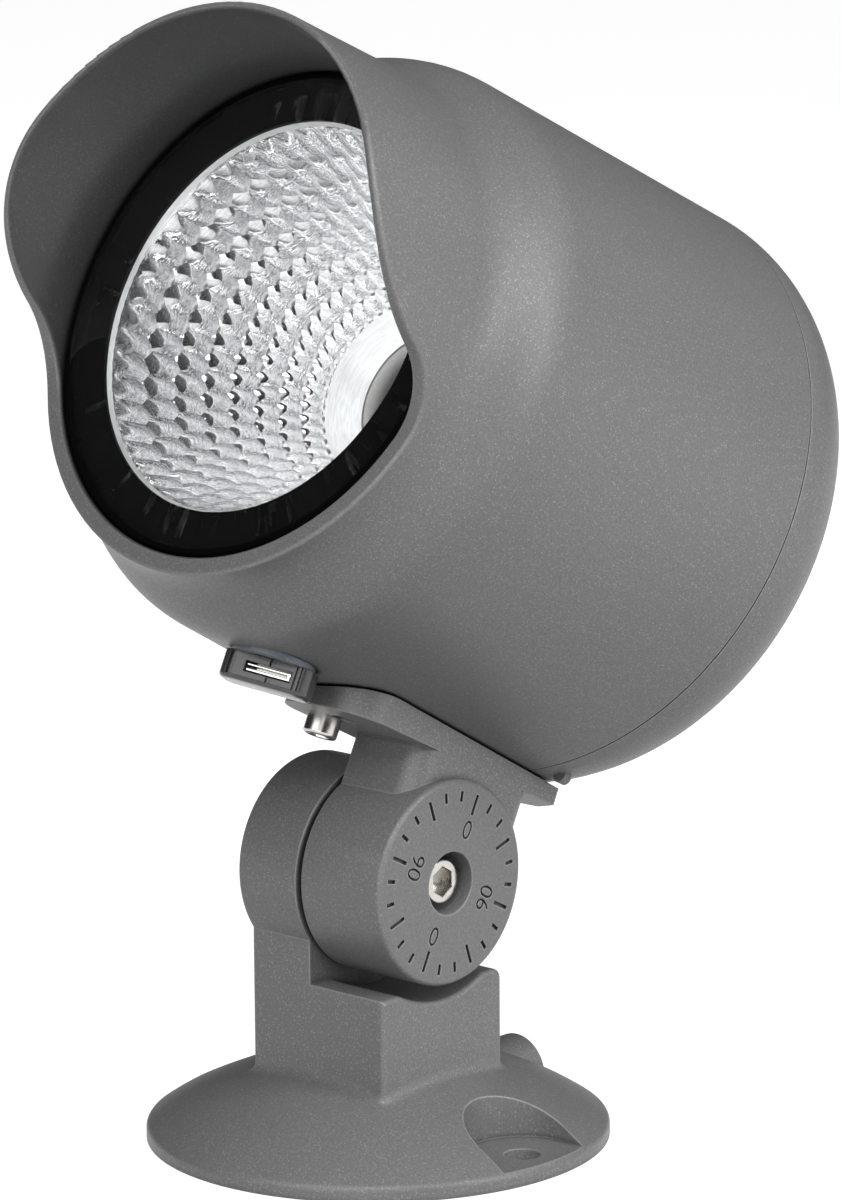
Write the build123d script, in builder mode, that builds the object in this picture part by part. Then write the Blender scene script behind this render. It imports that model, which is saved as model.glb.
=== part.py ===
# Adjustable outdoor spotlight: hooded round head on a tilting knuckle and a round surface base.
# Millimetres, +Z up, origin at the centre of the base's underside, light thrown towards -Y.
# Head stations run along the optical axis from the pivot, positive towards the light.
import os
from math import acos, cos, degrees, radians, sin, sqrt

from build123d import *

os.makedirs("parts", exist_ok=True)

# Fits
thread_gap = 0.05  # radial room of a screw in its tapped hole
thread_runout = 0.8  # tapped hole deeper than the screw
pivot_fit = 0.05  # radial room of the pivot screw in the bracket
screw_room = 0.3  # radial room of a screw in a plain hole
seat_gap = 0.15  # room round covers, seals and bushes
film_gap = 0.05  # seals against curved faces

# Base casting
base_r = 44.4
rim_h = 2.6
rim_round = 1.4
dome_r = 16.5  # inside the stem
dome_h = 13.9
dome_mid_r = 32.0  # control point of the dome's curve
dome_mid_h = 11.3
stem_w = 34.2  # along X
stem_d = 33.0  # along Y
stem_drop = 20.0  # flat stem top below the pivot
stem_round = 0.9
stem_back_round = 2.0  # rear edge of the stem top
saddle_round = 3.0  # where the saddle runs out at the stem top
foot_round = 2.0  # between stem and dome
pivot_h = 52.0
fixed_ear_r = 20.1
saddle_gap = 3.4
fixed_ear_t = 15.35
wire_chamber_r = 12.0
wire_chamber_in = 6.0
wire_chamber_t = 9.0
wire_r = 3.2
cavity_r = 21.0
cavity_h = 8.5
hole_in = 7.4  # mounting holes inside the rim
hole_r = 3.5
pocket_r = 11.0
pocket_floor = 3.0
hump_half = 7.3
hump_axis = 3.3
hump_in = 4.4  # outlet ends inside the rim
hump_wall = 3.0
grommet_l = 6.0
grommet_bore = 2.5

# Pivot screw, washers
m5_r = 2.5
m5_head_r = 4.25
m5_head_h = 5.0
m5_socket = 4.0  # across flats
m5_socket_h = 2.6
head_chamfer = 0.4
pivot_thread = 11.0
counterbore_r = 6.0
head_below_dial = 2.0
washer_t = 1.0
washer_r = 5.2
friction_t = 1.05
friction_r = 18.0

# Head bracket
tilt = 26.5  # head raised at rest, degrees
knuckle_r = 19.6
knuckle_round = 0.9
arm_x = 17.0  # outer side of arm and plate
plate_in = -7.6  # inner side of the plate
plate_low = 22.2  # underside of the plate over the pivot
plate_t = 2.0  # at the middle of its saddle
plate_front = 35.3
plate_back = 29.7
plate_front_round = 9.5
tail_l = 5.4  # tapered rear end of the plate
tail_w = 8.0
tail_round = 4.0
arm_front = 15.5
arm_back = 18.0
arm_round = 5.0
dial_proud = 2.2
tick_out_r = 17.4
tick_long = 4.0
tick_short = 2.0
tick_w = 0.7
tick_deep = 0.6
tick_count = 24
tick_major = 3  # every third tick is long
bracket_screw_front = 26.0
bracket_screw_back = 21.5
bracket_screw_l = 12.0
screw_boss_r = 5.5
boss_cap = 2.0  # boss beyond the screw's tip
gasket_t = 0.5
gasket_inset = 1.2
bush_wall = 1.7
bush_flange = 2.0

# Housing
body_r = 60.0  # at the split
split_s = -15.0
shoulder_drop = 3.0  # body tapers in to the shoulder
shoulder_s = 55.5
neck_r = 50.6
neck_in = 2.0  # shoulder ends behind the rim
rim_s = 76.0
hood_r = 48.5
hood_s = 103.5
hood_rise = 25.0  # height over the axis where the hood's edge starts to sweep back
hood_arc = 35.0  # upper and lower radii of the sweep
rim_arc = 17.0
lip_round = 0.6
wall = 3.5
bore_r = 47.0
ledge_w = 3.4
ledge_t = 4.0
bulkhead_w = 4.0  # inside the spreader's screws
bulkhead_t = 5.0

# Optics
glass_recess = 0.4
glass_t = 3.0
glass_chamfer = 0.4
bond_gap = 0.3
bezel_t = 0.8
glass_seal_t = 1.2
aperture_r = 37.9
reflector_exit = 14.0
reflector_depth = 45.8
reflector_wall = 1.2
reflector_flange_t = 1.5
facet_count = 48
facet_rings = 10
cob_side = 28.0
cob_t = 1.2
emitter_r = 11.0
emitter_t = 0.7
holder_r = 25.0
holder_h = 6.0
holder_lip = 0.5
holder_screw_at = 20.5
spreader_t = 6.0
spreader_screws_n = 4
spreader_screw_turn = 67.5
m3_r = 1.5
m3_head_r = 2.75
m3_head_h = 3.0
m3_into = 4.0

# Gear in the rear
driver_room = 3.3  # clear of the spreader screws
driver_w = 44.0
driver_h = 26.0
driver_up = 6.0
driver_round = 3.0
driver_ear = 9.0
driver_ear_t = 2.0
terminal_room = 0.6  # clear of the spreader screws
terminal_w = 14.0
terminal_h = 16.0
terminal_poles = 3
terminal_hole_r = 1.8
terminal_down = 27.0

# Rear cover
rear_depth = 23.5
rear_corner = 20.0
split_gap = 0.3
spigot_l = 7.0
spigot_t = 3.0
seal_in = 2.0  # seal groove ahead of the split
seal_w = 3.0
seal_deep = 1.9
post_r = 4.5
post_room = 0.2  # post clear of the seal groove
pillar_r = 5.0
pillar_in = 9.0  # pillar ends ahead of the split
pillar_room = 0.8
m4_r = 2.0
m4_head_r = 3.3
m4_head_h = 4.0
m4_socket = 3.0
m4_clamp = 18.0
m4_into = 12.0
m4_count = 4
lug_r = 1.5
lug_x = 20.0
lug_in = 4.5  # behind the cover's edge
lug_l = 1.9

# Breather plug
breather_x = 3.0
breather_s = 46.8
breather_turn = 27.0  # from the X axis
breather_l = 17.2
breather_w = 8.0
breather_round = 2.4
breather_h = 5.3
breather_stem_r = 5.0
breather_stem_l = 7.0
breather_seal_t = 1.2
breather_seal_r = 8.0
breather_seat = 1.0  # spot face into the housing
window_l = 10.5
window_h = 2.2
window_off = 1.6  # towards the right end
clip_t = 0.6
clip_w = 3.0

# Worked-out places
shoulder_r = body_r - shoulder_drop
slope = (body_r - shoulder_r) / (split_s - shoulder_s)


def body_at(station):
    """Outer radius of the straight body at a station along the axis."""
    return body_r + (station - split_s) * slope


hole_at = base_r - hole_in
hump_end = base_r - hump_in
fixed_ear_x = -stem_w / 2 + fixed_ear_t
bracket_x = fixed_ear_x + friction_t
bracket_wire_x = bracket_x + wire_chamber_t / 2
plate_mid = (arm_x + plate_in) / 2
plate_w = arm_x - plate_in
dial_x = arm_x + dial_proud
head_top_x = dial_x - head_below_dial
washer_x = head_top_x - m5_head_h
seat_x = washer_x - washer_t
stem_top = pivot_h - stem_drop
saddle_r = knuckle_r + saddle_gap
wire_mid_r = (wire_chamber_in + wire_chamber_r) / 2
axis_up = plate_low + plate_t + gasket_t + body_at(0)
bush_r = wire_r + bush_wall
bush_low = axis_up - sqrt((body_at(bush_r) + gasket_t) ** 2 - (bracket_wire_x + bush_r) ** 2) + film_gap
flange_out = bush_r + bush_flange
bush_up = axis_up - sqrt((body_at(flange_out) - wall) ** 2 - (bracket_wire_x + flange_out) ** 2) + film_gap
boss_root = wall * 0.8  # bosses start inside the wall
glass_front = rim_s - glass_recess
glass_back = glass_front - glass_t
bezel_back = glass_back - bezel_t
ledge_s = bezel_back - glass_seal_t
ledge_r = bore_r - ledge_w
glass_r = bore_r - bond_gap
reflector_back = bezel_back - reflector_depth
spreader_s = reflector_back - holder_h
spreader_back = spreader_s - spreader_t
spigot_bore = body_at(split_s + spigot_l) - wall
spigot_r = spigot_bore - seat_gap
groove_r = spigot_r - seal_deep
seal_s = split_s + seal_in
seal_end = seal_s + seal_w
post_at = groove_r - post_room - post_r
pillar_s = split_s + pillar_in
m4_seat_s = pillar_s - m4_clamp
spreader_r = post_at - pillar_r - pillar_room
spreader_screw_at = spreader_r - m3_head_r - pillar_room
bulkhead_r = spreader_screw_at - bulkhead_w
driver_l = 2 * (spreader_screw_at * sin(radians(spreader_screw_turn)) - m3_head_r - driver_room)
terminal_l = 2 * (spreader_screw_at * cos(radians(spreader_screw_turn)) - m3_head_r - terminal_room)
back_s = split_s - rear_depth
corner_s = back_s + rear_corner
corner_r = body_at(corner_s) - rear_corner
breather_seat_r = body_at(breather_s) - breather_seat
breather_low = breather_seat_r + breather_seal_t + breather_h

forward = Vector(0, -cos(radians(tilt)), sin(radians(tilt)))
head_up = Vector(0, sin(radians(tilt)), cos(radians(tilt)))
pivot = Vector(0, 0, pivot_h)
optic = pivot + head_up * axis_up
light_axis = Axis(optic, forward)

# Planes of the head: section holds (radius, station), side holds (height over the pivot, station)
section = Plane(optic, x_dir=head_up, z_dir=(1, 0, 0))
side = Plane(pivot, x_dir=head_up, z_dir=(1, 0, 0))


def across(station):
    """Plane square to the optical axis: X to the right, head up, facing forward."""
    return Plane(optic + forward * station, x_dir=(1, 0, 0), z_dir=forward)


def under(height):
    """Plane square to the head's up direction, at a height over the pivot; Y runs backwards."""
    return Plane(pivot + head_up * height, x_dir=(1, 0, 0), z_dir=head_up)


def knuckle(x):
    """Plane square to the pivot at x: Y runs backwards, Z up."""
    return Plane((x, 0, pivot_h), x_dir=(0, 1, 0), z_dir=(1, 0, 0))


def is_foot_edge(edge):
    """True for the edges where the stem rises out of the dome."""
    place = edge.center()
    inside = abs(place.X) < stem_w / 2 + foot_round and abs(place.Y) < stem_d / 2 + foot_round
    return inside and rim_h + rim_round < place.Z < dome_h + foot_round


# Base casting: flange and dome, square stem, fixed ear, saddle, wire way and mounting pockets
channel_half = hump_half - hump_wall
with BuildPart() as base_casting:
    with BuildSketch(Plane.XY.offset(rim_h)):
        Rectangle(stem_w, stem_d)
    extrude(amount=stem_top - rim_h)
    with BuildSketch(knuckle(-stem_w / 2)):
        Circle(fixed_ear_r)
        with Locations((0, -stem_drop / 2)):
            Rectangle(stem_d, stem_drop)
    extrude(amount=fixed_ear_t)
    with BuildSketch(knuckle(fixed_ear_x)):
        Circle(saddle_r)
    extrude(amount=stem_w, mode=Mode.SUBTRACT)
    ridges = base_casting.edges().filter_by(Axis.X).filter_by_position(Axis.X, 0, stem_w)
    top_edges = ridges.group_by(lambda edge: round(abs(edge.center().Z - stem_top), 3))[0].sort_by(Axis.Y)
    fillet(top_edges[-1], stem_back_round)
    fillet(top_edges[1:-1], saddle_round)
    flat_sides = base_casting.faces().filter_by(Axis.X).sort_by(Axis.X)
    outer_edges = flat_sides[0].edges() + flat_sides[-1].edges()
    fillet(outer_edges.filter_by(lambda edge: edge.center().Z > rim_h), stem_round)
    with BuildSketch(Plane.XZ):
        with BuildLine():
            Polyline((0, dome_h), (0, 0), (base_r, 0), (base_r, rim_h))
            Bezier((base_r, rim_h), (dome_mid_r, dome_mid_h), (dome_r, dome_h))
            Line((dome_r, dome_h), (0, dome_h))
        make_face()
    revolve(axis=Axis.Z)
    fillet(base_casting.edges().filter_by(GeomType.CIRCLE).sort_by(Axis.Z)[1], rim_round)
    fillet(base_casting.edges().filter_by(is_foot_edge), foot_round)
    with BuildSketch(Plane.XZ.offset(-hump_end)):
        with Locations((0, hump_axis)):
            Circle(hump_half)
        with Locations((0, hump_axis / 2)):
            Rectangle(2 * hump_half, hump_axis)
        with Locations((0, -hump_half / 2)):
            Rectangle(2 * hump_half, hump_half, mode=Mode.SUBTRACT)
    extrude(amount=hump_end)
    with BuildSketch(Plane.XY.offset(pocket_floor)):
        with Locations((hole_at, 0), (-hole_at, 0)):
            Circle(pocket_r)
        with Locations((hole_at + base_r / 2, 0), (-hole_at - base_r / 2, 0)):
            Rectangle(base_r, 2 * pocket_r)
    extrude(amount=dome_h, mode=Mode.SUBTRACT)
    with BuildSketch(Plane.XY):
        with Locations((hole_at, 0), (-hole_at, 0)):
            Circle(hole_r)
    extrude(amount=pocket_floor, mode=Mode.SUBTRACT)
    with BuildSketch(Plane.XY):
        Circle(cavity_r)
    extrude(amount=cavity_h, mode=Mode.SUBTRACT)
    with BuildSketch(Plane.XZ.offset(-hump_end)):
        with Locations((0, hump_axis)):
            Circle(channel_half)
        with Locations((0, 0)):
            Rectangle(2 * channel_half, 2 * hump_axis)
    extrude(amount=hump_end, mode=Mode.SUBTRACT)
    with BuildSketch(Plane.XY.offset(cavity_h)):
        with Locations((fixed_ear_x - wire_chamber_t / 2, 0)):
            Circle(wire_r)
    extrude(amount=pivot_h - wire_mid_r - cavity_h, mode=Mode.SUBTRACT)
    with BuildSketch(knuckle(fixed_ear_x)):
        Circle(wire_chamber_r)
        Circle(wire_chamber_in, mode=Mode.SUBTRACT)
    extrude(amount=-wire_chamber_t, mode=Mode.SUBTRACT)
    with BuildSketch(knuckle(fixed_ear_x)):
        Circle(m5_r + thread_gap)
    extrude(amount=-pivot_thread - thread_runout, mode=Mode.SUBTRACT)
base_casting.part.label = "base_casting"
export_step(base_casting.part, "parts/base_casting.step")

# Cable grommet: rubber plug that fills the end of the outlet tunnel
with BuildPart() as cable_grommet:
    with BuildSketch(Plane.XZ.offset(-hump_end)):
        with Locations((0, hump_axis)):
            Circle(channel_half - seat_gap)
        with Locations((0, hump_axis / 2)):
            Rectangle(2 * (channel_half - seat_gap), hump_axis)
        with Locations((0, -channel_half / 2)):
            Rectangle(2 * channel_half, channel_half, mode=Mode.SUBTRACT)
        with Locations((0, hump_axis)):
            Circle(grommet_bore, mode=Mode.SUBTRACT)
    extrude(amount=grommet_l)
cable_grommet.part.label = "cable_grommet"
export_step(cable_grommet.part, "parts/cable_grommet.step")

# Friction washer between the two ears
with BuildPart() as friction_washer:
    with BuildSketch(knuckle(fixed_ear_x)):
        Circle(friction_r)
        Circle(wire_chamber_r, mode=Mode.SUBTRACT)
    extrude(amount=friction_t)
friction_washer.part.label = "friction_washer"
export_step(friction_washer.part, "parts/friction_washer.step")

# Pivot washer under the pivot screw's head
with BuildPart() as pivot_washer:
    with BuildSketch(knuckle(seat_x)):
        Circle(washer_r)
        Circle(m5_r + screw_room, mode=Mode.SUBTRACT)
    extrude(amount=washer_t)
pivot_washer.part.label = "pivot_washer"
export_step(pivot_washer.part, "parts/pivot_washer.step")

# Pivot screw: socket cap screw that clamps the bracket to the fixed ear
with BuildPart() as pivot_screw:
    with BuildSketch(knuckle(washer_x)):
        Circle(m5_head_r)
    extrude(amount=m5_head_h)
    chamfer(pivot_screw.faces().sort_by(Axis.X)[-1].edges(), head_chamfer)
    with BuildSketch(knuckle(head_top_x)):
        RegularPolygon(m5_socket / 2, 6, major_radius=False)
    extrude(amount=-m5_socket_h, mode=Mode.SUBTRACT)
    with BuildSketch(knuckle(washer_x)):
        Circle(m5_r)
    extrude(amount=-(washer_x - fixed_ear_x + pivot_thread))
pivot_screw.part.label = "pivot_screw"
export_step(pivot_screw.part, "parts/pivot_screw.step")

# Head bracket: ear with the tilt dial, arm, and a saddle plate that follows the housing
screw_places = [(plate_mid, -bracket_screw_front), (plate_mid, bracket_screw_back)]
tail_start = plate_back - tail_l
plate_corners = [
    (plate_in, -plate_front),
    (arm_x, -plate_front),
    (arm_x, tail_start),
    (plate_mid + tail_w / 2, plate_back),
    (plate_mid - tail_w / 2, plate_back),
    (plate_in, tail_start),
]
with BuildPart() as head_bracket:
    with BuildSketch(side.offset(bracket_x)):
        with Locations(((plate_low + plate_t) / 2, (arm_front - arm_back) / 2)):
            Rectangle(plate_low + plate_t, arm_front + arm_back)
    extrude(amount=arm_x - bracket_x)
    fillet(head_bracket.faces().sort_by(Axis.X)[-1].edges().filter_by(Axis(pivot, head_up)), arm_round)
    with BuildSketch(side.offset(bracket_x)):
        Circle(knuckle_r)
    extrude(amount=dial_x - bracket_x)
    fillet(head_bracket.faces().sort_by(Axis.X)[-1].edges(), knuckle_round)
    with BuildSketch(under(plate_low)) as plate_outline:
        Polygon(*plate_corners, align=None)
        fillet(plate_outline.vertices().sort_by(Axis.Y)[:2], plate_front_round)
        fillet(plate_outline.vertices().sort_by(Axis.Y)[-2:], tail_round)
    extrude(amount=plate_w / 2)
    with BuildSketch(section):
        with BuildLine():
            Polyline(
                (0, -plate_front),
                (body_at(-plate_front) + gasket_t, -plate_front),
                (body_at(rim_s) + gasket_t, rim_s),
                (0, rim_s),
                close=True,
            )
        make_face()
    revolve(axis=light_axis, mode=Mode.SUBTRACT)
    with BuildSketch(side.offset(dial_x)):
        Circle(counterbore_r)
    extrude(amount=seat_x - dial_x, mode=Mode.SUBTRACT)
    with BuildSketch(side.offset(seat_x)):
        Circle(m5_r + pivot_fit)
    extrude(amount=bracket_x - seat_x, mode=Mode.SUBTRACT)
    with BuildSketch(side.offset(dial_x)):
        for tick in range(tick_count):
            length = tick_short if tick % tick_major else tick_long
            with PolarLocations(tick_out_r - length / 2, 1, start_angle=360 * tick / tick_count):
                Rectangle(length, tick_w)
    extrude(amount=-tick_deep, mode=Mode.SUBTRACT)
    with BuildSketch(side.offset(bracket_x)):
        Circle(wire_chamber_r)
        Circle(wire_chamber_in, mode=Mode.SUBTRACT)
    extrude(amount=wire_chamber_t, mode=Mode.SUBTRACT)
    with BuildSketch(under(wire_mid_r)):
        with Locations((bracket_wire_x, 0)):
            Circle(wire_r)
    extrude(amount=plate_low + plate_w, mode=Mode.SUBTRACT)
    with BuildSketch(under(plate_low)):
        with Locations(*screw_places):
            Circle(m4_r + screw_room)
    extrude(amount=plate_w, mode=Mode.SUBTRACT)
head_bracket.part.label = "head_bracket"
export_step(head_bracket.part, "parts/head_bracket.step")

# Bracket gasket: thin sheet between the saddle plate and the housing
with BuildPart() as bracket_gasket:
    with BuildSketch(under(plate_low)) as gasket_outline:
        Polygon(*plate_corners, align=None)
        fillet(gasket_outline.vertices().sort_by(Axis.Y)[:2], plate_front_round)
        fillet(gasket_outline.vertices().sort_by(Axis.Y)[-2:], tail_round)
        offset(amount=-gasket_inset)
        with Locations(*screw_places):
            Circle(m4_r + screw_room, mode=Mode.SUBTRACT)
        with Locations((bracket_wire_x, 0)):
            Circle(bush_r + seat_gap, mode=Mode.SUBTRACT)
    extrude(amount=plate_w / 2)
    with BuildSketch(section):
        with BuildLine():
            Polyline(
                (body_at(-plate_front) + film_gap, -plate_front),
                (body_at(-plate_front) + gasket_t - film_gap, -plate_front),
                (body_at(rim_s) + gasket_t - film_gap, rim_s),
                (body_at(rim_s) + film_gap, rim_s),
                close=True,
            )
        make_face()
    revolve(axis=light_axis, mode=Mode.INTERSECT)
bracket_gasket.part.label = "bracket_gasket"
export_step(bracket_gasket.part, "parts/bracket_gasket.step")

# Bracket screws: two cap screws from below, into the housing and the rear cover
with BuildPart() as bracket_screws:
    with BuildSketch(under(plate_low)):
        with Locations(*screw_places):
            Circle(m4_head_r)
    extrude(amount=-m4_head_h)
    with BuildSketch(under(plate_low - m4_head_h)):
        with Locations(*screw_places):
            RegularPolygon(m4_socket / 2, 6, major_radius=False)
    extrude(amount=m4_head_h / 2, mode=Mode.SUBTRACT)
    with BuildSketch(under(plate_low)):
        with Locations(*screw_places):
            Circle(m4_r)
    extrude(amount=bracket_screw_l)
bracket_screws.part.label = "bracket_screws"
export_step(bracket_screws.part, "parts/bracket_screws.step")

# Wire bush: rubber sleeve where the leads pass from the housing into the bracket
with BuildPart() as wire_bush:
    with BuildSketch(under(bush_low)):
        with Locations((bracket_wire_x, 0)):
            Circle(bush_r)
    extrude(amount=bush_up - bush_low)
    with BuildSketch(under(bush_up)):
        with Locations((bracket_wire_x, 0)):
            Circle(flange_out)
    extrude(amount=bush_flange)
    with BuildSketch(under(plate_low)):
        with Locations((bracket_wire_x, 0)):
            Circle(wire_r)
    extrude(amount=axis_up, mode=Mode.SUBTRACT)
wire_bush.part.label = "wire_bush"
export_step(wire_bush.part, "parts/wire_bush.step")


def is_lip_edge(edge):
    """True for the inner and outer edges of the hood and the rim."""
    station = (edge.center() - optic).dot(forward)
    return station > rim_s - neck_in / 2 and edge.geom_type != GeomType.LINE


# Housing: tapered body, S-shaped shoulder, neck and hood, with glass ledge and bulkhead inside
neck_s = rim_s - neck_in
neck_slope = (hood_r - neck_r) / (hood_s - neck_s)
bulkhead_s = spreader_s + bulkhead_t
sweep_angle = degrees(acos(1 - (hood_s - rim_s) / (hood_arc + rim_arc)))
front_boss_up = axis_up - body_at(bracket_screw_front) + boss_root
screw_tip_up = plate_low + bracket_screw_l
with BuildPart() as housing:
    with BuildSketch(section):
        with BuildLine():
            Line((body_r, split_s), (shoulder_r, shoulder_s))
            Spline((shoulder_r, shoulder_s), (neck_r, neck_s), tangents=((slope, 1), (neck_slope, 1)))
            Polyline(
                (neck_r, neck_s),
                (hood_r, hood_s),
                (bore_r, hood_s),
                (bore_r, ledge_s),
                (ledge_r, ledge_s),
                (ledge_r, ledge_s - ledge_t),
                (neck_r - wall, ledge_s - ledge_t),
                (shoulder_r - wall, shoulder_s - wall),
                (body_at(bulkhead_s) - wall, bulkhead_s),
                (bulkhead_r, bulkhead_s),
                (bulkhead_r, spreader_s),
                (body_at(spreader_s) - wall, spreader_s),
                (spigot_bore, split_s + spigot_l),
                (spigot_bore, split_s),
                (body_r, split_s),
            )
        make_face()
    revolve(axis=light_axis)
    with BuildSketch(section):
        with BuildLine():
            hood_sweep = JernArc((hood_rise, hood_s), (-1, 0), hood_arc, sweep_angle)
            rim_sweep = JernArc(hood_sweep @ 1, hood_sweep % 1, rim_arc, -sweep_angle)
            Polyline(
                rim_sweep @ 1,
                (-body_r, rim_s),
                (-body_r, hood_s + wall),
                (hood_rise, hood_s + wall),
                (hood_rise, hood_s),
            )
        make_face()
    extrude(amount=body_r, both=True, mode=Mode.SUBTRACT)
    fillet(housing.edges().filter_by(is_lip_edge), lip_round)
    with BuildSketch(under(front_boss_up)):
        with Locations(screw_places[0]):
            Circle(screw_boss_r)
    extrude(amount=screw_tip_up + boss_cap - front_boss_up)
    with BuildSketch(under(plate_low)):
        with Locations(screw_places[0]):
            Circle(m4_r + thread_gap)
    extrude(amount=bracket_screw_l + thread_runout, mode=Mode.SUBTRACT)
    with BuildSketch(under(plate_low)):
        with Locations((bracket_wire_x, 0)):
            Circle(bush_r + seat_gap)
    extrude(amount=bush_up - plate_low, mode=Mode.SUBTRACT)
    with BuildSketch(under(axis_up - breather_seat_r)):
        with Locations((breather_x, -breather_s)):
            Circle(breather_seal_r + seat_gap)
    extrude(amount=-wall, mode=Mode.SUBTRACT)
    with BuildSketch(under(axis_up - breather_seat_r)):
        with Locations((breather_x, -breather_s)):
            Circle(breather_stem_r + seat_gap)
    extrude(amount=2 * wall, mode=Mode.SUBTRACT)
    with BuildSketch(across(spreader_s)):
        with PolarLocations(post_at, m4_count, start_angle=45):
            Circle(pillar_r)
    extrude(amount=pillar_s - spreader_s)
    with BuildSketch(across(pillar_s)):
        with PolarLocations(post_at, m4_count, start_angle=45):
            Circle(m4_r + thread_gap)
    extrude(amount=m4_into + thread_runout, mode=Mode.SUBTRACT)
    with BuildSketch(across(spreader_s)):
        with PolarLocations(spreader_screw_at, spreader_screws_n, start_angle=spreader_screw_turn):
            Circle(m3_r + thread_gap)
    extrude(amount=bulkhead_t, mode=Mode.SUBTRACT)
housing.part.label = "housing"
export_step(housing.part, "parts/housing.step")

# Front glass, flush with the lower rim
with BuildPart() as front_glass:
    with BuildSketch(across(glass_back)):
        Circle(glass_r)
    extrude(amount=glass_t)
    chamfer(front_glass.edges().filter_by(GeomType.CIRCLE), glass_chamfer)
front_glass.part.label = "front_glass"
export_step(front_glass.part, "parts/front_glass.step")

# Reflector bezel: black ring behind the glass
with BuildPart() as reflector_bezel:
    with BuildSketch(across(bezel_back)):
        Circle(glass_r)
        Circle(aperture_r, mode=Mode.SUBTRACT)
    extrude(amount=bezel_t)
reflector_bezel.part.label = "reflector_bezel"
export_step(reflector_bezel.part, "parts/reflector_bezel.step")

# Glass seal on the housing's ledge
with BuildPart() as glass_seal:
    with BuildSketch(across(ledge_s)):
        Circle(glass_r)
        Circle(ledge_r, mode=Mode.SUBTRACT)
    extrude(amount=glass_seal_t)
glass_seal.part.label = "glass_seal"
export_step(glass_seal.part, "parts/glass_seal.step")


def ring_radius(ring):
    """Facet ring radius, evenly spaced from the lamp opening to the aperture."""
    return reflector_exit + (aperture_r - reflector_exit) * ring / facet_rings


def ring_station(ring):
    """Station of a facet ring on a parabola through the lamp opening and the aperture."""
    share = (ring_radius(ring) ** 2 - reflector_exit**2) / (aperture_r**2 - reflector_exit**2)
    return reflector_back + reflector_depth * share


# Reflector: parabolic bowl whose inside is rings of flat facets, each ring turned half a facet
with BuildPart() as reflector:
    with BuildSketch(section):
        with BuildLine():
            outside = [
                (ring_radius(ring) + reflector_wall, ring_station(ring)) for ring in range(facet_rings + 1)
            ]
            Polyline(
                (0, reflector_back),
                *outside[:-1],
                (outside[-1][0], bezel_back - reflector_flange_t),
                (ledge_r - seat_gap, bezel_back - reflector_flange_t),
                (ledge_r - seat_gap, bezel_back),
                (0, bezel_back),
                close=True,
            )
        make_face()
    revolve(axis=light_axis)
    for ring in range(facet_rings):
        half_turn = 180 / facet_count * (ring % 2)
        with BuildSketch(across(ring_station(ring))):
            RegularPolygon(ring_radius(ring), facet_count, rotation=half_turn)
        with BuildSketch(across(ring_station(ring + 1))):
            RegularPolygon(ring_radius(ring + 1), facet_count, rotation=half_turn)
        loft(ruled=True, mode=Mode.SUBTRACT)
reflector.part.label = "reflector"
export_step(reflector.part, "parts/reflector.step")

# Heat spreader: thick disc on the rear of the bulkhead that carries lamp and driver
driver_screw_at = driver_l / 2 + driver_ear / 2
with BuildPart() as heat_spreader:
    with BuildSketch(across(spreader_back)):
        Circle(spreader_r)
        with PolarLocations(spreader_screw_at, spreader_screws_n, start_angle=spreader_screw_turn):
            Circle(m3_r + screw_room, mode=Mode.SUBTRACT)
        with Locations((holder_screw_at, 0), (-holder_screw_at, 0)):
            Circle(m3_r + thread_gap, mode=Mode.SUBTRACT)
        with Locations((driver_screw_at, driver_up), (-driver_screw_at, driver_up)):
            Circle(m3_r + thread_gap, mode=Mode.SUBTRACT)
        with Locations((0, -holder_r - wire_r)):
            Circle(wire_r, mode=Mode.SUBTRACT)
    extrude(amount=spreader_t)
heat_spreader.part.label = "heat_spreader"
export_step(heat_spreader.part, "parts/heat_spreader.step")

# Heat spreader screws, heads to the rear
with BuildPart() as spreader_screws:
    with BuildSketch(across(spreader_back)):
        with PolarLocations(spreader_screw_at, spreader_screws_n, start_angle=spreader_screw_turn):
            Circle(m3_head_r)
    extrude(amount=-m3_head_h)
    with BuildSketch(across(spreader_back)):
        with PolarLocations(spreader_screw_at, spreader_screws_n, start_angle=spreader_screw_turn):
            Circle(m3_r)
    extrude(amount=spreader_t + m3_into)
spreader_screws.part.label = "spreader_screws"
export_step(spreader_screws.part, "parts/spreader_screws.step")

# Lamp board with its light-emitting disc
with BuildPart() as led_board:
    with BuildSketch(across(spreader_s)):
        Rectangle(cob_side, cob_side)
    extrude(amount=cob_t)
led_board.part.label = "led_board"
export_step(led_board.part, "parts/led_board.step")

with BuildPart() as led_emitter:
    with BuildSketch(across(spreader_s + cob_t)):
        Circle(emitter_r)
    extrude(amount=emitter_t)
led_emitter.part.label = "led_emitter"
export_step(led_emitter.part, "parts/led_emitter.step")

# Lamp holder: moulded ring that clamps the board and carries the reflector's tail
holder_seat = spreader_s + holder_h - m3_head_h
holder_screw_places = [(holder_screw_at, 0), (-holder_screw_at, 0)]
with BuildPart() as led_holder:
    with BuildSketch(across(spreader_s)):
        Circle(holder_r)
        Circle(reflector_exit - holder_lip, mode=Mode.SUBTRACT)
    extrude(amount=holder_h)
    with BuildSketch(across(spreader_s)):
        Rectangle(cob_side + 2 * seat_gap, cob_side + 2 * seat_gap)
    extrude(amount=cob_t, mode=Mode.SUBTRACT)
    with BuildSketch(across(holder_seat)):
        with Locations(*holder_screw_places):
            Circle(m3_head_r + screw_room)
    extrude(amount=m3_head_h, mode=Mode.SUBTRACT)
    with BuildSketch(across(spreader_s)):
        with Locations(*holder_screw_places):
            Circle(m3_r + screw_room)
    extrude(amount=holder_h, mode=Mode.SUBTRACT)
led_holder.part.label = "led_holder"
export_step(led_holder.part, "parts/led_holder.step")

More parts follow.
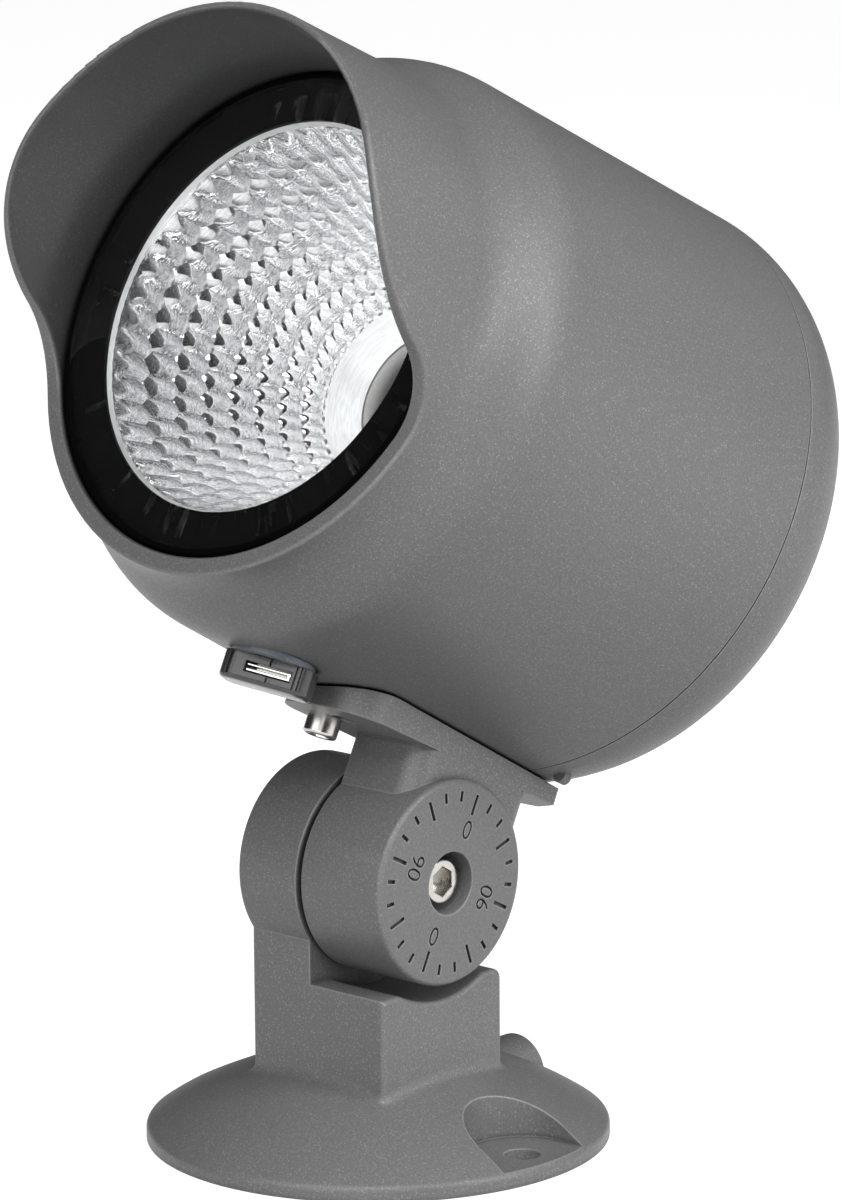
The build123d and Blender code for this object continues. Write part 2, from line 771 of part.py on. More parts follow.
with BuildPart() as holder_screws:
    with BuildSketch(across(holder_seat)):
        with Locations(*holder_screw_places):
            Circle(m3_head_r)
    extrude(amount=m3_head_h)
    with BuildSketch(across(holder_seat)):
        with Locations(*holder_screw_places):
            Circle(m3_r)
    extrude(amount=spreader_s - holder_seat - m3_into)
holder_screws.part.label = "holder_screws"
export_step(holder_screws.part, "parts/holder_screws.step")

# Driver: potted power supply on the rear of the heat spreader
driver_screw_places = [(driver_screw_at, driver_up), (-driver_screw_at, driver_up)]
with BuildPart() as led_driver:
    with BuildSketch(across(spreader_back)):
        with Locations((0, driver_up)):
            RectangleRounded(driver_l, driver_w, driver_round)
    extrude(amount=-driver_h)
    with BuildSketch(across(spreader_back)):
        with Locations((0, driver_up)):
            RectangleRounded(driver_l + 2 * driver_ear, driver_ear, driver_round)
        with Locations(*driver_screw_places):
            Circle(m3_r + screw_room, mode=Mode.SUBTRACT)
    extrude(amount=-driver_ear_t)
led_driver.part.label = "led_driver"
export_step(led_driver.part, "parts/led_driver.step")

with BuildPart() as driver_screws:
    with BuildSketch(across(spreader_back - driver_ear_t)):
        with Locations(*driver_screw_places):
            Circle(m3_head_r)
    extrude(amount=-m3_head_h)
    with BuildSketch(across(spreader_back - driver_ear_t)):
        with Locations(*driver_screw_places):
            Circle(m3_r)
    extrude(amount=driver_ear_t + m3_into)
driver_screws.part.label = "driver_screws"
export_step(driver_screws.part, "parts/driver_screws.step")

# Terminal block for the supply leads
with BuildPart() as terminal_block:
    with BuildSketch(across(spreader_back)):
        with Locations((0, -terminal_down)):
            Rectangle(terminal_l, terminal_w)
    extrude(amount=-terminal_h)
    with BuildSketch(across(spreader_back - terminal_h)):
        with Locations((0, -terminal_down)):
            with GridLocations(terminal_l / terminal_poles, terminal_w / 2, terminal_poles, 2):
                Circle(terminal_hole_r)
    extrude(amount=terminal_h / 2, mode=Mode.SUBTRACT)
terminal_block.part.label = "terminal_block"
export_step(terminal_block.part, "parts/terminal_block.step")

# Rear cover: deep rounded cap with spigot, seal groove, screw posts, lower boss and two locating lugs
flange_s = split_s - split_gap
spigot_in = spigot_r - spigot_t
spigot_end = split_s + spigot_l - split_gap
inner_corner = rear_corner - wall
back_boss_up = axis_up - body_at(-bracket_screw_back) + boss_root
lug_up = -sqrt(body_at(flange_s) ** 2 - lug_x**2)
with BuildPart() as rear_cover:
    with BuildSketch(across(pillar_s)):
        with PolarLocations(post_at, m4_count, start_angle=45):
            Circle(post_r)
    extrude(amount=back_s - pillar_s)
    with BuildSketch(section):
        with BuildLine():
            Polyline(
                (0, back_s),
                (0, pillar_s),
                (spigot_r, pillar_s),
                (spigot_r, flange_s),
                (body_at(flange_s), flange_s),
                (corner_r + rear_corner, corner_s),
            )
            CenterArc((corner_r, corner_s), rear_corner, 0, -90)
            Line((corner_r, back_s), (0, back_s))
        make_face()
    revolve(axis=light_axis, mode=Mode.INTERSECT)
    with BuildSketch(section):
        with BuildLine():
            CenterArc((corner_r, corner_s), rear_corner, 0, -90)
            Polyline((corner_r, back_s), (0, back_s), (0, back_s + wall), (corner_r, back_s + wall))
            CenterArc((corner_r, corner_s), inner_corner, -90, 90)
            Polyline(
                (corner_r + inner_corner, corner_s),
                (spigot_in, flange_s),
                (spigot_in, spigot_end),
                (spigot_r, spigot_end),
                (spigot_r, seal_end),
                (groove_r, seal_end),
                (groove_r, seal_s),
                (spigot_r, seal_s),
                (spigot_r, flange_s),
                (body_at(flange_s), flange_s),
                (corner_r + rear_corner, corner_s),
            )
        make_face()
    revolve(axis=light_axis)
    with BuildSketch(under(back_boss_up)):
        with Locations(screw_places[1]):
            Circle(screw_boss_r)
    extrude(amount=screw_tip_up + boss_cap - back_boss_up)
    with BuildSketch(across(flange_s - lug_in)):
        with Locations((lug_x, lug_up), (-lug_x, lug_up)):
            Circle(lug_r)
    extrude(amount=-lug_l)
    with BuildSketch(under(plate_low)):
        with Locations(screw_places[1]):
            Circle(m4_r + thread_gap)
    extrude(amount=bracket_screw_l + thread_runout, mode=Mode.SUBTRACT)
    with BuildSketch(across(m4_seat_s)):
        with PolarLocations(post_at, m4_count, start_angle=45):
            Circle(m4_head_r + screw_room)
    extrude(amount=back_s - m4_seat_s, mode=Mode.SUBTRACT)
    with BuildSketch(across(pillar_s)):
        with PolarLocations(post_at, m4_count, start_angle=45):
            Circle(m4_r + screw_room)
    extrude(amount=m4_seat_s - pillar_s, mode=Mode.SUBTRACT)
rear_cover.part.label = "rear_cover"
export_step(rear_cover.part, "parts/rear_cover.step")

# Rear cover seal in the spigot's groove
with BuildPart() as rear_seal:
    with BuildSketch(section):
        with BuildLine():
            Polyline(
                (groove_r + film_gap, seal_s + film_gap),
                (spigot_bore - film_gap, seal_s + film_gap),
                (spigot_bore - film_gap, seal_end - film_gap),
                (groove_r + film_gap, seal_end - film_gap),
                close=True,
            )
        make_face()
    revolve(axis=light_axis)
rear_seal.part.label = "rear_seal"
export_step(rear_seal.part, "parts/rear_seal.step")

# Rear cover screws, sunk in their wells
with BuildPart() as rear_screws:
    with BuildSketch(across(m4_seat_s)):
        with PolarLocations(post_at, m4_count, start_angle=45):
            Circle(m4_head_r)
    extrude(amount=-m4_head_h)
    with BuildSketch(across(m4_seat_s - m4_head_h)):
        with PolarLocations(post_at, m4_count, start_angle=45):
            RegularPolygon(m4_socket / 2, 6, major_radius=False)
    extrude(amount=m4_head_h / 2, mode=Mode.SUBTRACT)
    with BuildSketch(across(m4_seat_s)):
        with PolarLocations(post_at, m4_count, start_angle=45):
            Circle(m4_r)
    extrude(amount=pillar_s - m4_seat_s + m4_into)
rear_screws.part.label = "rear_screws"
export_step(rear_screws.part, "parts/rear_screws.step")

# Breather plug: flat-sided cap with a window through it, stem through the housing
breather_place = (breather_x, -breather_s)
window_place = (
    breather_x + window_off * cos(radians(breather_turn)),
    window_off * sin(radians(breather_turn)) - breather_s,
)
with BuildPart() as breather_plug:
    with BuildSketch(under(axis_up - breather_low)):
        with Locations(breather_place):
            RectangleRounded(breather_l, breather_w, breather_round, rotation=breather_turn)
    extrude(amount=breather_h)
    with BuildSketch(under(axis_up - breather_low + breather_h)):
        with Locations(breather_place):
            Circle(breather_stem_r)
    extrude(amount=breather_seal_t + breather_stem_l)
    with BuildSketch(under(axis_up - breather_low + (breather_h - window_h) / 2)):
        with Locations(window_place):
            Rectangle(window_l, breather_w, rotation=breather_turn)
    extrude(amount=window_h, mode=Mode.SUBTRACT)
breather_plug.part.label = "breather_plug"
export_step(breather_plug.part, "parts/breather_plug.step")

# Breather clip: metal strip across the window
with BuildPart() as breather_clip:
    with BuildSketch(under(axis_up - breather_low + (breather_h - clip_t) / 2)):
        with Locations(window_place):
            Rectangle(window_l, clip_w, rotation=breather_turn)
    extrude(amount=clip_t)
breather_clip.part.label = "breather_clip"
export_step(breather_clip.part, "parts/breather_clip.step")

# Breather seal: silicone ring between cap and housing
with BuildPart() as breather_seal:
    with BuildSketch(under(axis_up - breather_seat_r - breather_seal_t)):
        with Locations(breather_place):
            Circle(breather_seal_r)
            Circle(breather_stem_r + seat_gap, mode=Mode.SUBTRACT)
    extrude(amount=breather_seal_t)
breather_seal.part.label = "breather_seal"
export_step(breather_seal.part, "parts/breather_seal.step")
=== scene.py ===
import math

import bmesh
import bpy
from mathutils import Matrix, Vector


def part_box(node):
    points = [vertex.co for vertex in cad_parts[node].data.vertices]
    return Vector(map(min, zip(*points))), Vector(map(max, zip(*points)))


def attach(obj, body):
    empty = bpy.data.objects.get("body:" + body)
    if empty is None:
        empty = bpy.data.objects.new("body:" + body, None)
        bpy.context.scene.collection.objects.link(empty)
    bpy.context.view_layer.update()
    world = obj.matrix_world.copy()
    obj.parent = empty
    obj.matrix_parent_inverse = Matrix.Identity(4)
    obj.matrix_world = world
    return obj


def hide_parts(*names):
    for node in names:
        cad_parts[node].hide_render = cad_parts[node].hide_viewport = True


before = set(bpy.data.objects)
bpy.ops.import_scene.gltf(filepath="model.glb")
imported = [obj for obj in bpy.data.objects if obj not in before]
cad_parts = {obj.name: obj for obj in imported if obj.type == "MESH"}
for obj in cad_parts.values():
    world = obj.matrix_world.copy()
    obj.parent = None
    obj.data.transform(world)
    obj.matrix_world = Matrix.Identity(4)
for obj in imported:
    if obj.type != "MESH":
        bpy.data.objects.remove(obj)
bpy.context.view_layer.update()  # bodies, nodes, joints, record
print("frame:", len(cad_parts), "nodes")

mm = 0.001

# the head's own axes: X to the right, Y head up, Z along the light
headPlace = {"tilt": 26.5, "pivotUp": 52.0, "axisUp": 84.06}
tilt = math.radians(headPlace["tilt"])
forward = Vector((0, -math.cos(tilt), math.sin(tilt)))
headUp = Vector((0, math.sin(tilt), math.cos(tilt)))
pivot = Vector((0, 0, headPlace["pivotUp"] * mm))
optic = pivot + headUp * headPlace["axisUp"] * mm
headTurn = Matrix((Vector((1, 0, 0)), headUp, forward)).transposed().to_4x4()
headFrame = Matrix.Translation(optic) @ headTurn


def deselectAll():
    if bpy.context.object and bpy.context.object.mode != "OBJECT":
        bpy.ops.object.mode_set(mode="OBJECT")
    bpy.ops.object.select_all(action="DESELECT")


def pickOnly(obj):
    deselectAll()
    obj.select_set(True)
    bpy.context.view_layer.objects.active = obj


def applyModifiers(obj):
    pickOnly(obj)
    for modifier in list(obj.modifiers):
        bpy.ops.object.modifier_apply(modifier=modifier.name)


def setDown(obj, name, place=None):
    # names the piece and puts its place into its mesh
    obj.name = name
    obj.data.name = name
    if place is not None:
        obj.matrix_world = place
    pickOnly(obj)
    bpy.ops.object.transform_apply(location=True, rotation=True, scale=True)


# node helpers

def addNode(tree, kind, **values):
    node = tree.nodes.new("ShaderNode" + kind)
    for key, value in values.items():
        if hasattr(node, key):
            setattr(node, key, value)
        else:
            node.inputs[key.replace("_", " ")].default_value = value
    return node


def join(tree, source, target):
    tree.links.new(source, target)


def newGroup(name, inputs, outputs):
    group = bpy.data.node_groups.new(name, "ShaderNodeTree")
    kinds = {"colour": "NodeSocketColor", "value": "NodeSocketFloat", "vector": "NodeSocketVector"}
    for label, kind, value in inputs:
        socket = group.interface.new_socket(label, in_out="INPUT", socket_type=kinds[kind])
        socket.default_value = value
    for label, kind in outputs:
        group.interface.new_socket(label, in_out="OUTPUT", socket_type=kinds[kind])
    return group, group.nodes.new("NodeGroupInput"), group.nodes.new("NodeGroupOutput")


def addGroup(tree, group, **values):
    node = tree.nodes.new("ShaderNodeGroup")
    node.node_tree = group
    for key, value in values.items():
        node.inputs[key].default_value = value
    return node


def scaled(tree, source, factor):
    node = addNode(tree, "Math", operation="MULTIPLY")
    join(tree, source, node.inputs[0])
    node.inputs[1].default_value = factor
    return node.outputs[0]


def ranged(tree, source, low, high, toLow=0.0, toHigh=1.0):
    node = addNode(tree, "MapRange", clamp=True)
    join(tree, source, node.inputs["Value"])
    for label, value in (("From Min", low), ("From Max", high), ("To Min", toLow), ("To Max", toHigh)):
        node.inputs[label].default_value = value
    return node.outputs["Result"]


def feed(tree, node, sources):
    # each source is a socket to join or a fixed value
    for index, source in sources.items():
        if isinstance(source, bpy.types.NodeSocket):
            join(tree, source, node.inputs[index])
        else:
            node.inputs[index].default_value = source


def mixed(tree, share, first, second, blend="MIX"):
    node = addNode(tree, "Mix", data_type="RGBA", blend_type=blend)
    feed(tree, node, {0: share, 6: first, 7: second})
    return node.outputs[2]


def mixedValue(tree, share, first, second):
    node = addNode(tree, "Mix", data_type="FLOAT")
    feed(tree, node, {0: share, 2: first, 3: second})
    return node.outputs[0]


def grey(value, tint=(1.0, 1.0, 1.0)):
    # a screen value from 0 to 255 as a scene colour
    share = value / 255
    linear = share / 12.92 if share <= 0.04045 else ((share + 0.055) / 1.055) ** 2.4
    return (linear * tint[0], linear * tint[1], linear * tint[2], 1.0)


noiseSpan = (0.3, 0.7)  # the part of a noise's range that is used

# grain of a sprayed coat: fine cells, scattered bright flakes, cloudy tone
grainLook = {"flakeCore": (0.15, 0.55), "flakeGloss": -0.18, "fineScale": 2300.0, "fineTones": (0.86, 1.14),
             "cloudScale": 22.0, "cloudTones": (0.975, 1.025), "fineHeight": 0.7, "cellHeight": 0.3}


def makeCoatGrain():
    group, start, end = newGroup(
        "coatGrain",
        [("Base", "colour", (0.2, 0.2, 0.2, 1)), ("Flake", "colour", (0.6, 0.6, 0.6, 1)),
         ("Cells", "value", 2600.0), ("Flakes", "value", 0.12), ("Rough", "value", 0.5)],
        [("Colour", "colour"), ("Roughness", "value"), ("Height", "value")])
    place = addNode(group, "TexCoord")
    cells = addNode(group, "TexVoronoi", feature="F1")
    join(group, place.outputs["Object"], cells.inputs["Vector"])
    join(group, start.outputs["Cells"], cells.inputs["Scale"])
    parts = addNode(group, "SeparateColor")
    join(group, cells.outputs["Color"], parts.inputs[0])
    limit = addNode(group, "Math", operation="SUBTRACT")
    limit.inputs[0].default_value = 1.0
    join(group, start.outputs["Flakes"], limit.inputs[1])
    chosen = addNode(group, "Math", operation="GREATER_THAN")
    join(group, parts.outputs[0], chosen.inputs[0])
    join(group, limit.outputs[0], chosen.inputs[1])
    core = ranged(group, cells.outputs["Distance"], *grainLook["flakeCore"], 1.0, 0.0)
    flake = addNode(group, "Math", operation="MULTIPLY")
    join(group, chosen.outputs[0], flake.inputs[0])
    join(group, core, flake.inputs[1])
    strength = addNode(group, "Math", operation="MULTIPLY")
    join(group, flake.outputs[0], strength.inputs[0])
    join(group, parts.outputs[1], strength.inputs[1])
    fine = addNode(group, "TexNoise", Scale=grainLook["fineScale"], Detail=2.0, Roughness=0.6)
    cloud = addNode(group, "TexNoise", Scale=grainLook["cloudScale"], Detail=2.0)
    for noise in (fine, cloud):
        join(group, place.outputs["Object"], noise.inputs["Vector"])
    fineTone = ranged(group, fine.outputs["Fac"], *noiseSpan, *grainLook["fineTones"])
    cloudTone = ranged(group, cloud.outputs["Fac"], *noiseSpan, *grainLook["cloudTones"])
    tone = addNode(group, "Math", operation="MULTIPLY")
    join(group, fineTone, tone.inputs[0])
    join(group, cloudTone, tone.inputs[1])
    toned = addNode(group, "VectorMath", operation="SCALE")
    join(group, start.outputs["Base"], toned.inputs[0])
    join(group, tone.outputs[0], toned.inputs["Scale"])
    colour = mixed(group, strength.outputs[0], toned.outputs[0], start.outputs["Flake"])
    join(group, colour, end.inputs["Colour"])
    rough = addNode(group, "Math", operation="MULTIPLY_ADD")
    join(group, flake.outputs[0], rough.inputs[0])
    rough.inputs[1].default_value = grainLook["flakeGloss"]
    join(group, start.outputs["Rough"], rough.inputs[2])
    join(group, rough.outputs[0], end.inputs["Roughness"])
    height = addNode(group, "Math", operation="MULTIPLY_ADD")
    join(group, fine.outputs["Fac"], height.inputs[0])
    height.inputs[1].default_value = grainLook["fineHeight"]
    join(group, scaled(group, parts.outputs[2], grainLook["cellHeight"]), height.inputs[2])
    join(group, height.outputs[0], end.inputs["Height"])
    return group


# where an edge or lip turns: 1 on the edge, 0 on the flats, and the softened normal
edgeTurn = (0.998, 0.93)  # true normal against softened normal: on a flat, on an edge


def makeEdgeCatch():
    group, start, end = newGroup(
        "edgeCatch",
        [("Width", "value", 0.0006)],
        [("Edge", "value"), ("Normal", "vector")])
    soft = addNode(group, "Bevel", samples=4)
    join(group, start.outputs["Width"], soft.inputs["Radius"])
    plain = addNode(group, "NewGeometry")
    facing = addNode(group, "VectorMath", operation="DOT_PRODUCT")
    join(group, soft.outputs[0], facing.inputs[0])
    join(group, plain.outputs["Normal"], facing.inputs[1])
    join(group, ranged(group, facing.outputs["Value"], *edgeTurn), end.inputs["Edge"])
    join(group, soft.outputs[0], end.inputs["Normal"])
    return group


# how open a spot is, for painted shade: 0 deep in a gap or a cut line, 1 in the open
openSpan = (0.25, 0.85)


def makeOpenness():
    group, start, end = newGroup("openness", [("Reach", "value", 0.001)], [("Open", "value")])
    shade = addNode(group, "AmbientOcclusion", samples=6)
    join(group, start.outputs["Reach"], shade.inputs["Distance"])
    join(group, ranged(group, shade.outputs["AO"], *openSpan), end.inputs["Open"])
    return group


# fine drawn or turned lines along one direction
def makeDrawnLines():
    group, start, end = newGroup(
        "drawnLines",
        [("Stretch", "vector", (1.0, 1.0, 1.0)), ("Lines", "value", 900.0)],
        [("Line", "value")])
    place = addNode(group, "TexCoord")
    spread = addNode(group, "VectorMath", operation="MULTIPLY")
    join(group, place.outputs["Object"], spread.inputs[0])
    join(group, start.outputs["Stretch"], spread.inputs[1])
    noise = addNode(group, "TexNoise", Detail=3.0, Roughness=0.6)
    join(group, spread.outputs[0], noise.inputs["Vector"])
    join(group, start.outputs["Lines"], noise.inputs["Scale"])
    join(group, ranged(group, noise.outputs["Fac"], *noiseSpan), end.inputs["Line"])
    return group


coatGrain = makeCoatGrain()
edgeCatch = makeEdgeCatch()
drawnLines = makeDrawnLines()
openness = makeOpenness()


def newFinish(name):
    finish = bpy.data.materials.new(name)
    finish.use_nodes = True
    tree = finish.node_tree
    tree.nodes.clear()
    out = addNode(tree, "OutputMaterial")
    shader = addNode(tree, "BsdfPrincipled")
    join(tree, shader.outputs[0], out.inputs["Surface"])
    return finish, tree, shader


def bumped(tree, shader, height, strength, distance, normal=None):
    bump = addNode(tree, "Bump", Strength=strength, Distance=distance)
    join(tree, height, bump.inputs["Height"])
    if normal is not None:
        join(tree, normal, bump.inputs["Normal"])
    join(tree, bump.outputs[0], shader.inputs["Normal"])


# how far a point is from the light's axis, and how far along it
def makeAxisPlace():
    group, start, end = newGroup("axisPlace", [], [("Radius", "value"), ("Station", "value")])
    place = addNode(group, "TexCoord")
    offset = addNode(group, "VectorMath", operation="SUBTRACT")
    join(group, place.outputs["Object"], offset.inputs[0])
    offset.inputs[1].default_value = optic
    along = addNode(group, "VectorMath", operation="DOT_PRODUCT")
    join(group, offset.outputs[0], along.inputs[0])
    along.inputs[1].default_value = forward
    side = addNode(group, "VectorMath", operation="CROSS_PRODUCT")
    join(group, offset.outputs[0], side.inputs[0])
    side.inputs[1].default_value = forward
    reach = addNode(group, "VectorMath", operation="LENGTH")
    join(group, side.outputs[0], reach.inputs[0])
    join(group, reach.outputs["Value"], end.inputs["Radius"])
    join(group, along.outputs["Value"], end.inputs["Station"])
    return group


axisPlace = makeAxisPlace()

# anthracite coat with metal flakes, with a painted highlight where lips and edges turn and painted shade
# deep in gaps and cut lines
coat = {"tone": 120, "flake": 176, "edge": 182, "cells": 3400.0, "flakes": 0.24, "rough": 0.45,
        "metallic": 0.12, "specular": 0.35, "bump": 0.16, "bumpDepth": 0.0002,
        "edgeWidth": 0.0005, "edgeHighlightShare": 0.8, "gapReach": 0.0016, "gapShadeTone": 66}
# darker inside of the hood: within a radius, ahead of a station, each with a soft border
hoodInside = {"tone": 74, "radius": 0.0472, "radiusSoft": 0.0003, "from": 0.068, "fromSoft": 0.0005}


def makeCoat(name, values, inside=None):
    finish, tree, shader = newFinish(name)
    grain = addGroup(tree, coatGrain, Base=grey(values["tone"]), Flake=grey(values["flake"]),
                     Cells=values["cells"], Flakes=values["flakes"], Rough=values["rough"])
    edge = addGroup(tree, edgeCatch, Width=values["edgeWidth"])
    # painted highlight: the coat's colour turns lighter on edges and lips
    share = scaled(tree, edge.outputs["Edge"], values["edgeHighlightShare"])
    colour = mixed(tree, share, grain.outputs["Colour"], grey(values["edge"]))
    # painted shade: the coat turns darker deep in gaps and cut lines
    gap = addGroup(tree, openness, Reach=values["gapReach"])
    dusk = mixed(tree, gap.outputs["Open"], grey(values["gapShadeTone"]), (1, 1, 1, 1))
    colour = mixed(tree, 1.0, colour, dusk, "MULTIPLY")
    if inside:
        axis = addGroup(tree, axisPlace)
        radius, station = inside["radius"], inside["from"]
        near = ranged(tree, axis.outputs["Radius"], radius, radius + inside["radiusSoft"], 1.0, 0.0)
        ahead = ranged(tree, axis.outputs["Station"], station, station + inside["fromSoft"])
        both = addNode(tree, "Math", operation="MULTIPLY")
        join(tree, near, both.inputs[0])
        join(tree, ahead, both.inputs[1])
        dim = inside["tone"] / values["tone"]
        colour = mixed(tree, both.outputs[0], colour, grey(255 * dim), "MULTIPLY")
    join(tree, colour, shader.inputs["Base Color"])
    join(tree, grain.outputs["Roughness"], shader.inputs["Roughness"])
    shader.inputs["Metallic"].default_value = values["metallic"]
    shader.inputs["Specular IOR Level"].default_value = values["specular"]
    bumped(tree, shader, grain.outputs["Height"], values["bump"], values["bumpDepth"],
           edge.outputs["Normal"])
    return finish


finishes = {"coat": makeCoat("anthraciteCoat", coat),
            "hoodCoat": makeCoat("anthraciteHood", coat, hoodInside)}

# plain moulded or rolled surfaces: rubber, plastic, board, sheet
mouldedLook = {"flecks": 0.05, "coatRough": 0.05, "edgeWidth": 0.0003, "bumpDepth": 0.0001}


def makeMoulded(name, values):
    finish, tree, shader = newFinish(name)
    grain = addGroup(tree, coatGrain, Base=values["colour"], Flake=values["fleck"],
                     Cells=values["cells"], Flakes=mouldedLook["flecks"], Rough=values["rough"])
    join(tree, grain.outputs["Colour"], shader.inputs["Base Color"])
    join(tree, grain.outputs["Roughness"], shader.inputs["Roughness"])
    shader.inputs["Metallic"].default_value = values.get("metallic", 0.0)
    shader.inputs["Specular IOR Level"].default_value = values.get("specular", 0.5)
    shader.inputs["Coat Weight"].default_value = values.get("coat", 0.0)
    shader.inputs["Coat Roughness"].default_value = mouldedLook["coatRough"]
    edge = addGroup(tree, edgeCatch, Width=mouldedLook["edgeWidth"])
    bumped(tree, shader, grain.outputs["Height"], values["bump"], mouldedLook["bumpDepth"],
           edge.outputs["Normal"])
    return finish


mouldings = {
    "blackRubber": {"colour": grey(34), "fleck": grey(60), "cells": 1800.0, "rough": 0.62, "bump": 0.15},
    "blueSilicone": {"colour": grey(128, (0.84, 0.95, 1.12)), "fleck": grey(160), "cells": 1500.0,
                     "rough": 0.4, "bump": 0.05},
    "frictionDisc": {"colour": grey(58), "fleck": grey(96), "cells": 1500.0, "rough": 0.7, "bump": 0.2},
    "blackBorder": {"colour": grey(3), "fleck": grey(5), "cells": 900.0, "rough": 0.7, "bump": 0.0,
                    "specular": 0.1},
    "paneRim": {"colour": grey(12), "fleck": grey(14), "cells": 900.0, "rough": 0.7, "bump": 0.0,
                "specular": 0.0},
    "lampBoard": {"colour": grey(226), "fleck": grey(240), "cells": 900.0, "rough": 0.4, "bump": 0.04},
    "lampPhosphor": {"colour": grey(140, (1.0, 0.94, 0.8)), "fleck": grey(160, (1.0, 0.94, 0.8)),
                     "cells": 3000.0, "rough": 0.5, "bump": 0.08},
    "holderPlastic": {"colour": grey(100), "fleck": grey(116), "cells": 1300.0, "rough": 0.42,
                      "bump": 0.06},
    "driverCase": {"colour": grey(226), "fleck": grey(236), "cells": 1300.0, "rough": 0.5, "bump": 0.1},
    "glossBlack": {"colour": grey(70), "fleck": grey(84), "cells": 1200.0, "rough": 0.28, "bump": 0.03,
                   "coat": 0.3},
}
finishes.update({name: makeMoulded(name, values) for name, values in mouldings.items()})
lampGlow = {"tone": 255, "tint": (1.0, 0.99, 0.97), "strength": 26.0, "radius": 0.0072, "soft": 0.0005}


def lightLamp(finish, values):
    # the lamp's middle glows, its edge stays plain
    tree = finish.node_tree
    shader = tree.nodes["Principled BSDF"]
    axis = addGroup(tree, axisPlace)
    radius = values["radius"]
    inner = ranged(tree, axis.outputs["Radius"], radius, radius + values["soft"], 1.0, 0.0)
    colour = mixed(tree, inner, (0, 0, 0, 1), grey(values["tone"], values["tint"]))
    join(tree, colour, shader.inputs["Emission Color"])
    shader.inputs["Emission Strength"].default_value = values["strength"]


lightLamp(finishes["lampPhosphor"], lampGlow)


# bare metals: drawn lines over a clean metal
lineDepth = 0.00005


def makeMetal(name, values):
    finish, tree, shader = newFinish(name)
    lines = addGroup(tree, drawnLines, Stretch=values["stretch"], Lines=values["lines"])
    low, high = values["tones"]
    colour = mixed(tree, lines.outputs["Line"], grey(low, values["tint"]), grey(high, values["tint"]))
    join(tree, colour, shader.inputs["Base Color"])
    shader.inputs["Metallic"].default_value = 1.0
    rough = ranged(tree, lines.outputs["Line"], 0.0, 1.0, *values["rough"])
    join(tree, rough, shader.inputs["Roughness"])
    bumped(tree, shader, lines.outputs["Line"], values["bump"], lineDepth)
    return finish


metals = {
    "stainless": {"stretch": (1.0, 1.0, 0.2), "lines": 2600.0, "tones": (204, 226),
                  "tint": (1.0, 0.98, 0.94), "rough": (0.09, 0.16), "bump": 0.015},
    "polishedSteel": {"stretch": (1.0, 1.0, 1.0), "lines": 500.0, "tones": (190, 204),
                      "tint": (1.0, 0.97, 0.92), "rough": (0.2, 0.24), "bump": 0.0},
    "bareAluminium": {"stretch": (1.0, 0.1, 1.0), "lines": 900.0, "tones": (186, 212),
                      "tint": (1.0, 1.0, 1.01), "rough": (0.3, 0.45), "bump": 0.1},
}
finishes.update({name: makeMetal(name, values) for name, values in metals.items()})

# polished bowl with fine tool marks that run round it, duller at its lip and neck
brightBowl = {"tones": (218, 243), "tint": (1.0, 1.0, 1.012), "rough": (0.012, 0.04), "marks": 3200.0,
              "spread": 0.12, "bump": 0.05, "bumpDepth": 0.0001, "lipFrom": 0.0373, "neckTo": 0.0184,
              "soft": 0.0001, "plainRough": 0.42}


def makeBowlMetal(values):
    finish, tree, shader = newFinish("brightBowl")
    axis = addGroup(tree, axisPlace)
    along = addNode(tree, "CombineXYZ")
    join(tree, axis.outputs["Radius"], along.inputs[0])
    join(tree, axis.outputs["Station"], along.inputs[1])
    place = addNode(tree, "TexCoord")
    drift = addNode(tree, "VectorMath", operation="SCALE", Scale=values["spread"])
    join(tree, place.outputs["Object"], drift.inputs[0])
    marked = addNode(tree, "VectorMath", operation="ADD")
    join(tree, along.outputs[0], marked.inputs[0])
    join(tree, drift.outputs[0], marked.inputs[1])
    marks = addNode(tree, "TexNoise", Scale=values["marks"], Detail=2.0, Roughness=0.55)
    join(tree, marked.outputs[0], marks.inputs["Vector"])
    mark = ranged(tree, marks.outputs["Fac"], *noiseSpan)
    low, high = values["tones"]
    colour = mixed(tree, mark, grey(low, values["tint"]), grey(high, values["tint"]))
    join(tree, colour, shader.inputs["Base Color"])
    rough = ranged(tree, mark, 0.0, 1.0, values["rough"][1], values["rough"][0])
    lipFrom, neckTo, soft = values["lipFrom"], values["neckTo"], values["soft"]
    lip = ranged(tree, axis.outputs["Radius"], lipFrom, lipFrom + soft)
    neck = ranged(tree, axis.outputs["Radius"], neckTo, neckTo + soft, 1.0, 0.0)
    rough = mixedValue(tree, lip, rough, values["plainRough"])
    join(tree, mixedValue(tree, neck, rough, values["plainRough"]), shader.inputs["Roughness"])
    shader.inputs["Metallic"].default_value = 1.0
    bumped(tree, shader, mark, values["bump"], values["bumpDepth"])
    return finish


finishes["brightBowl"] = makeBowlMetal(brightBowl)


# clear pane that lets the lamps through
pane = {"tone": (0.97, 0.985, 0.98, 1), "shine": 0.25, "ior": 1.5, "filmScale": 60.0, "filmRough": 0.012,
        "shadowTone": (0.94, 0.95, 0.95, 1), "rimBand": 0.85}


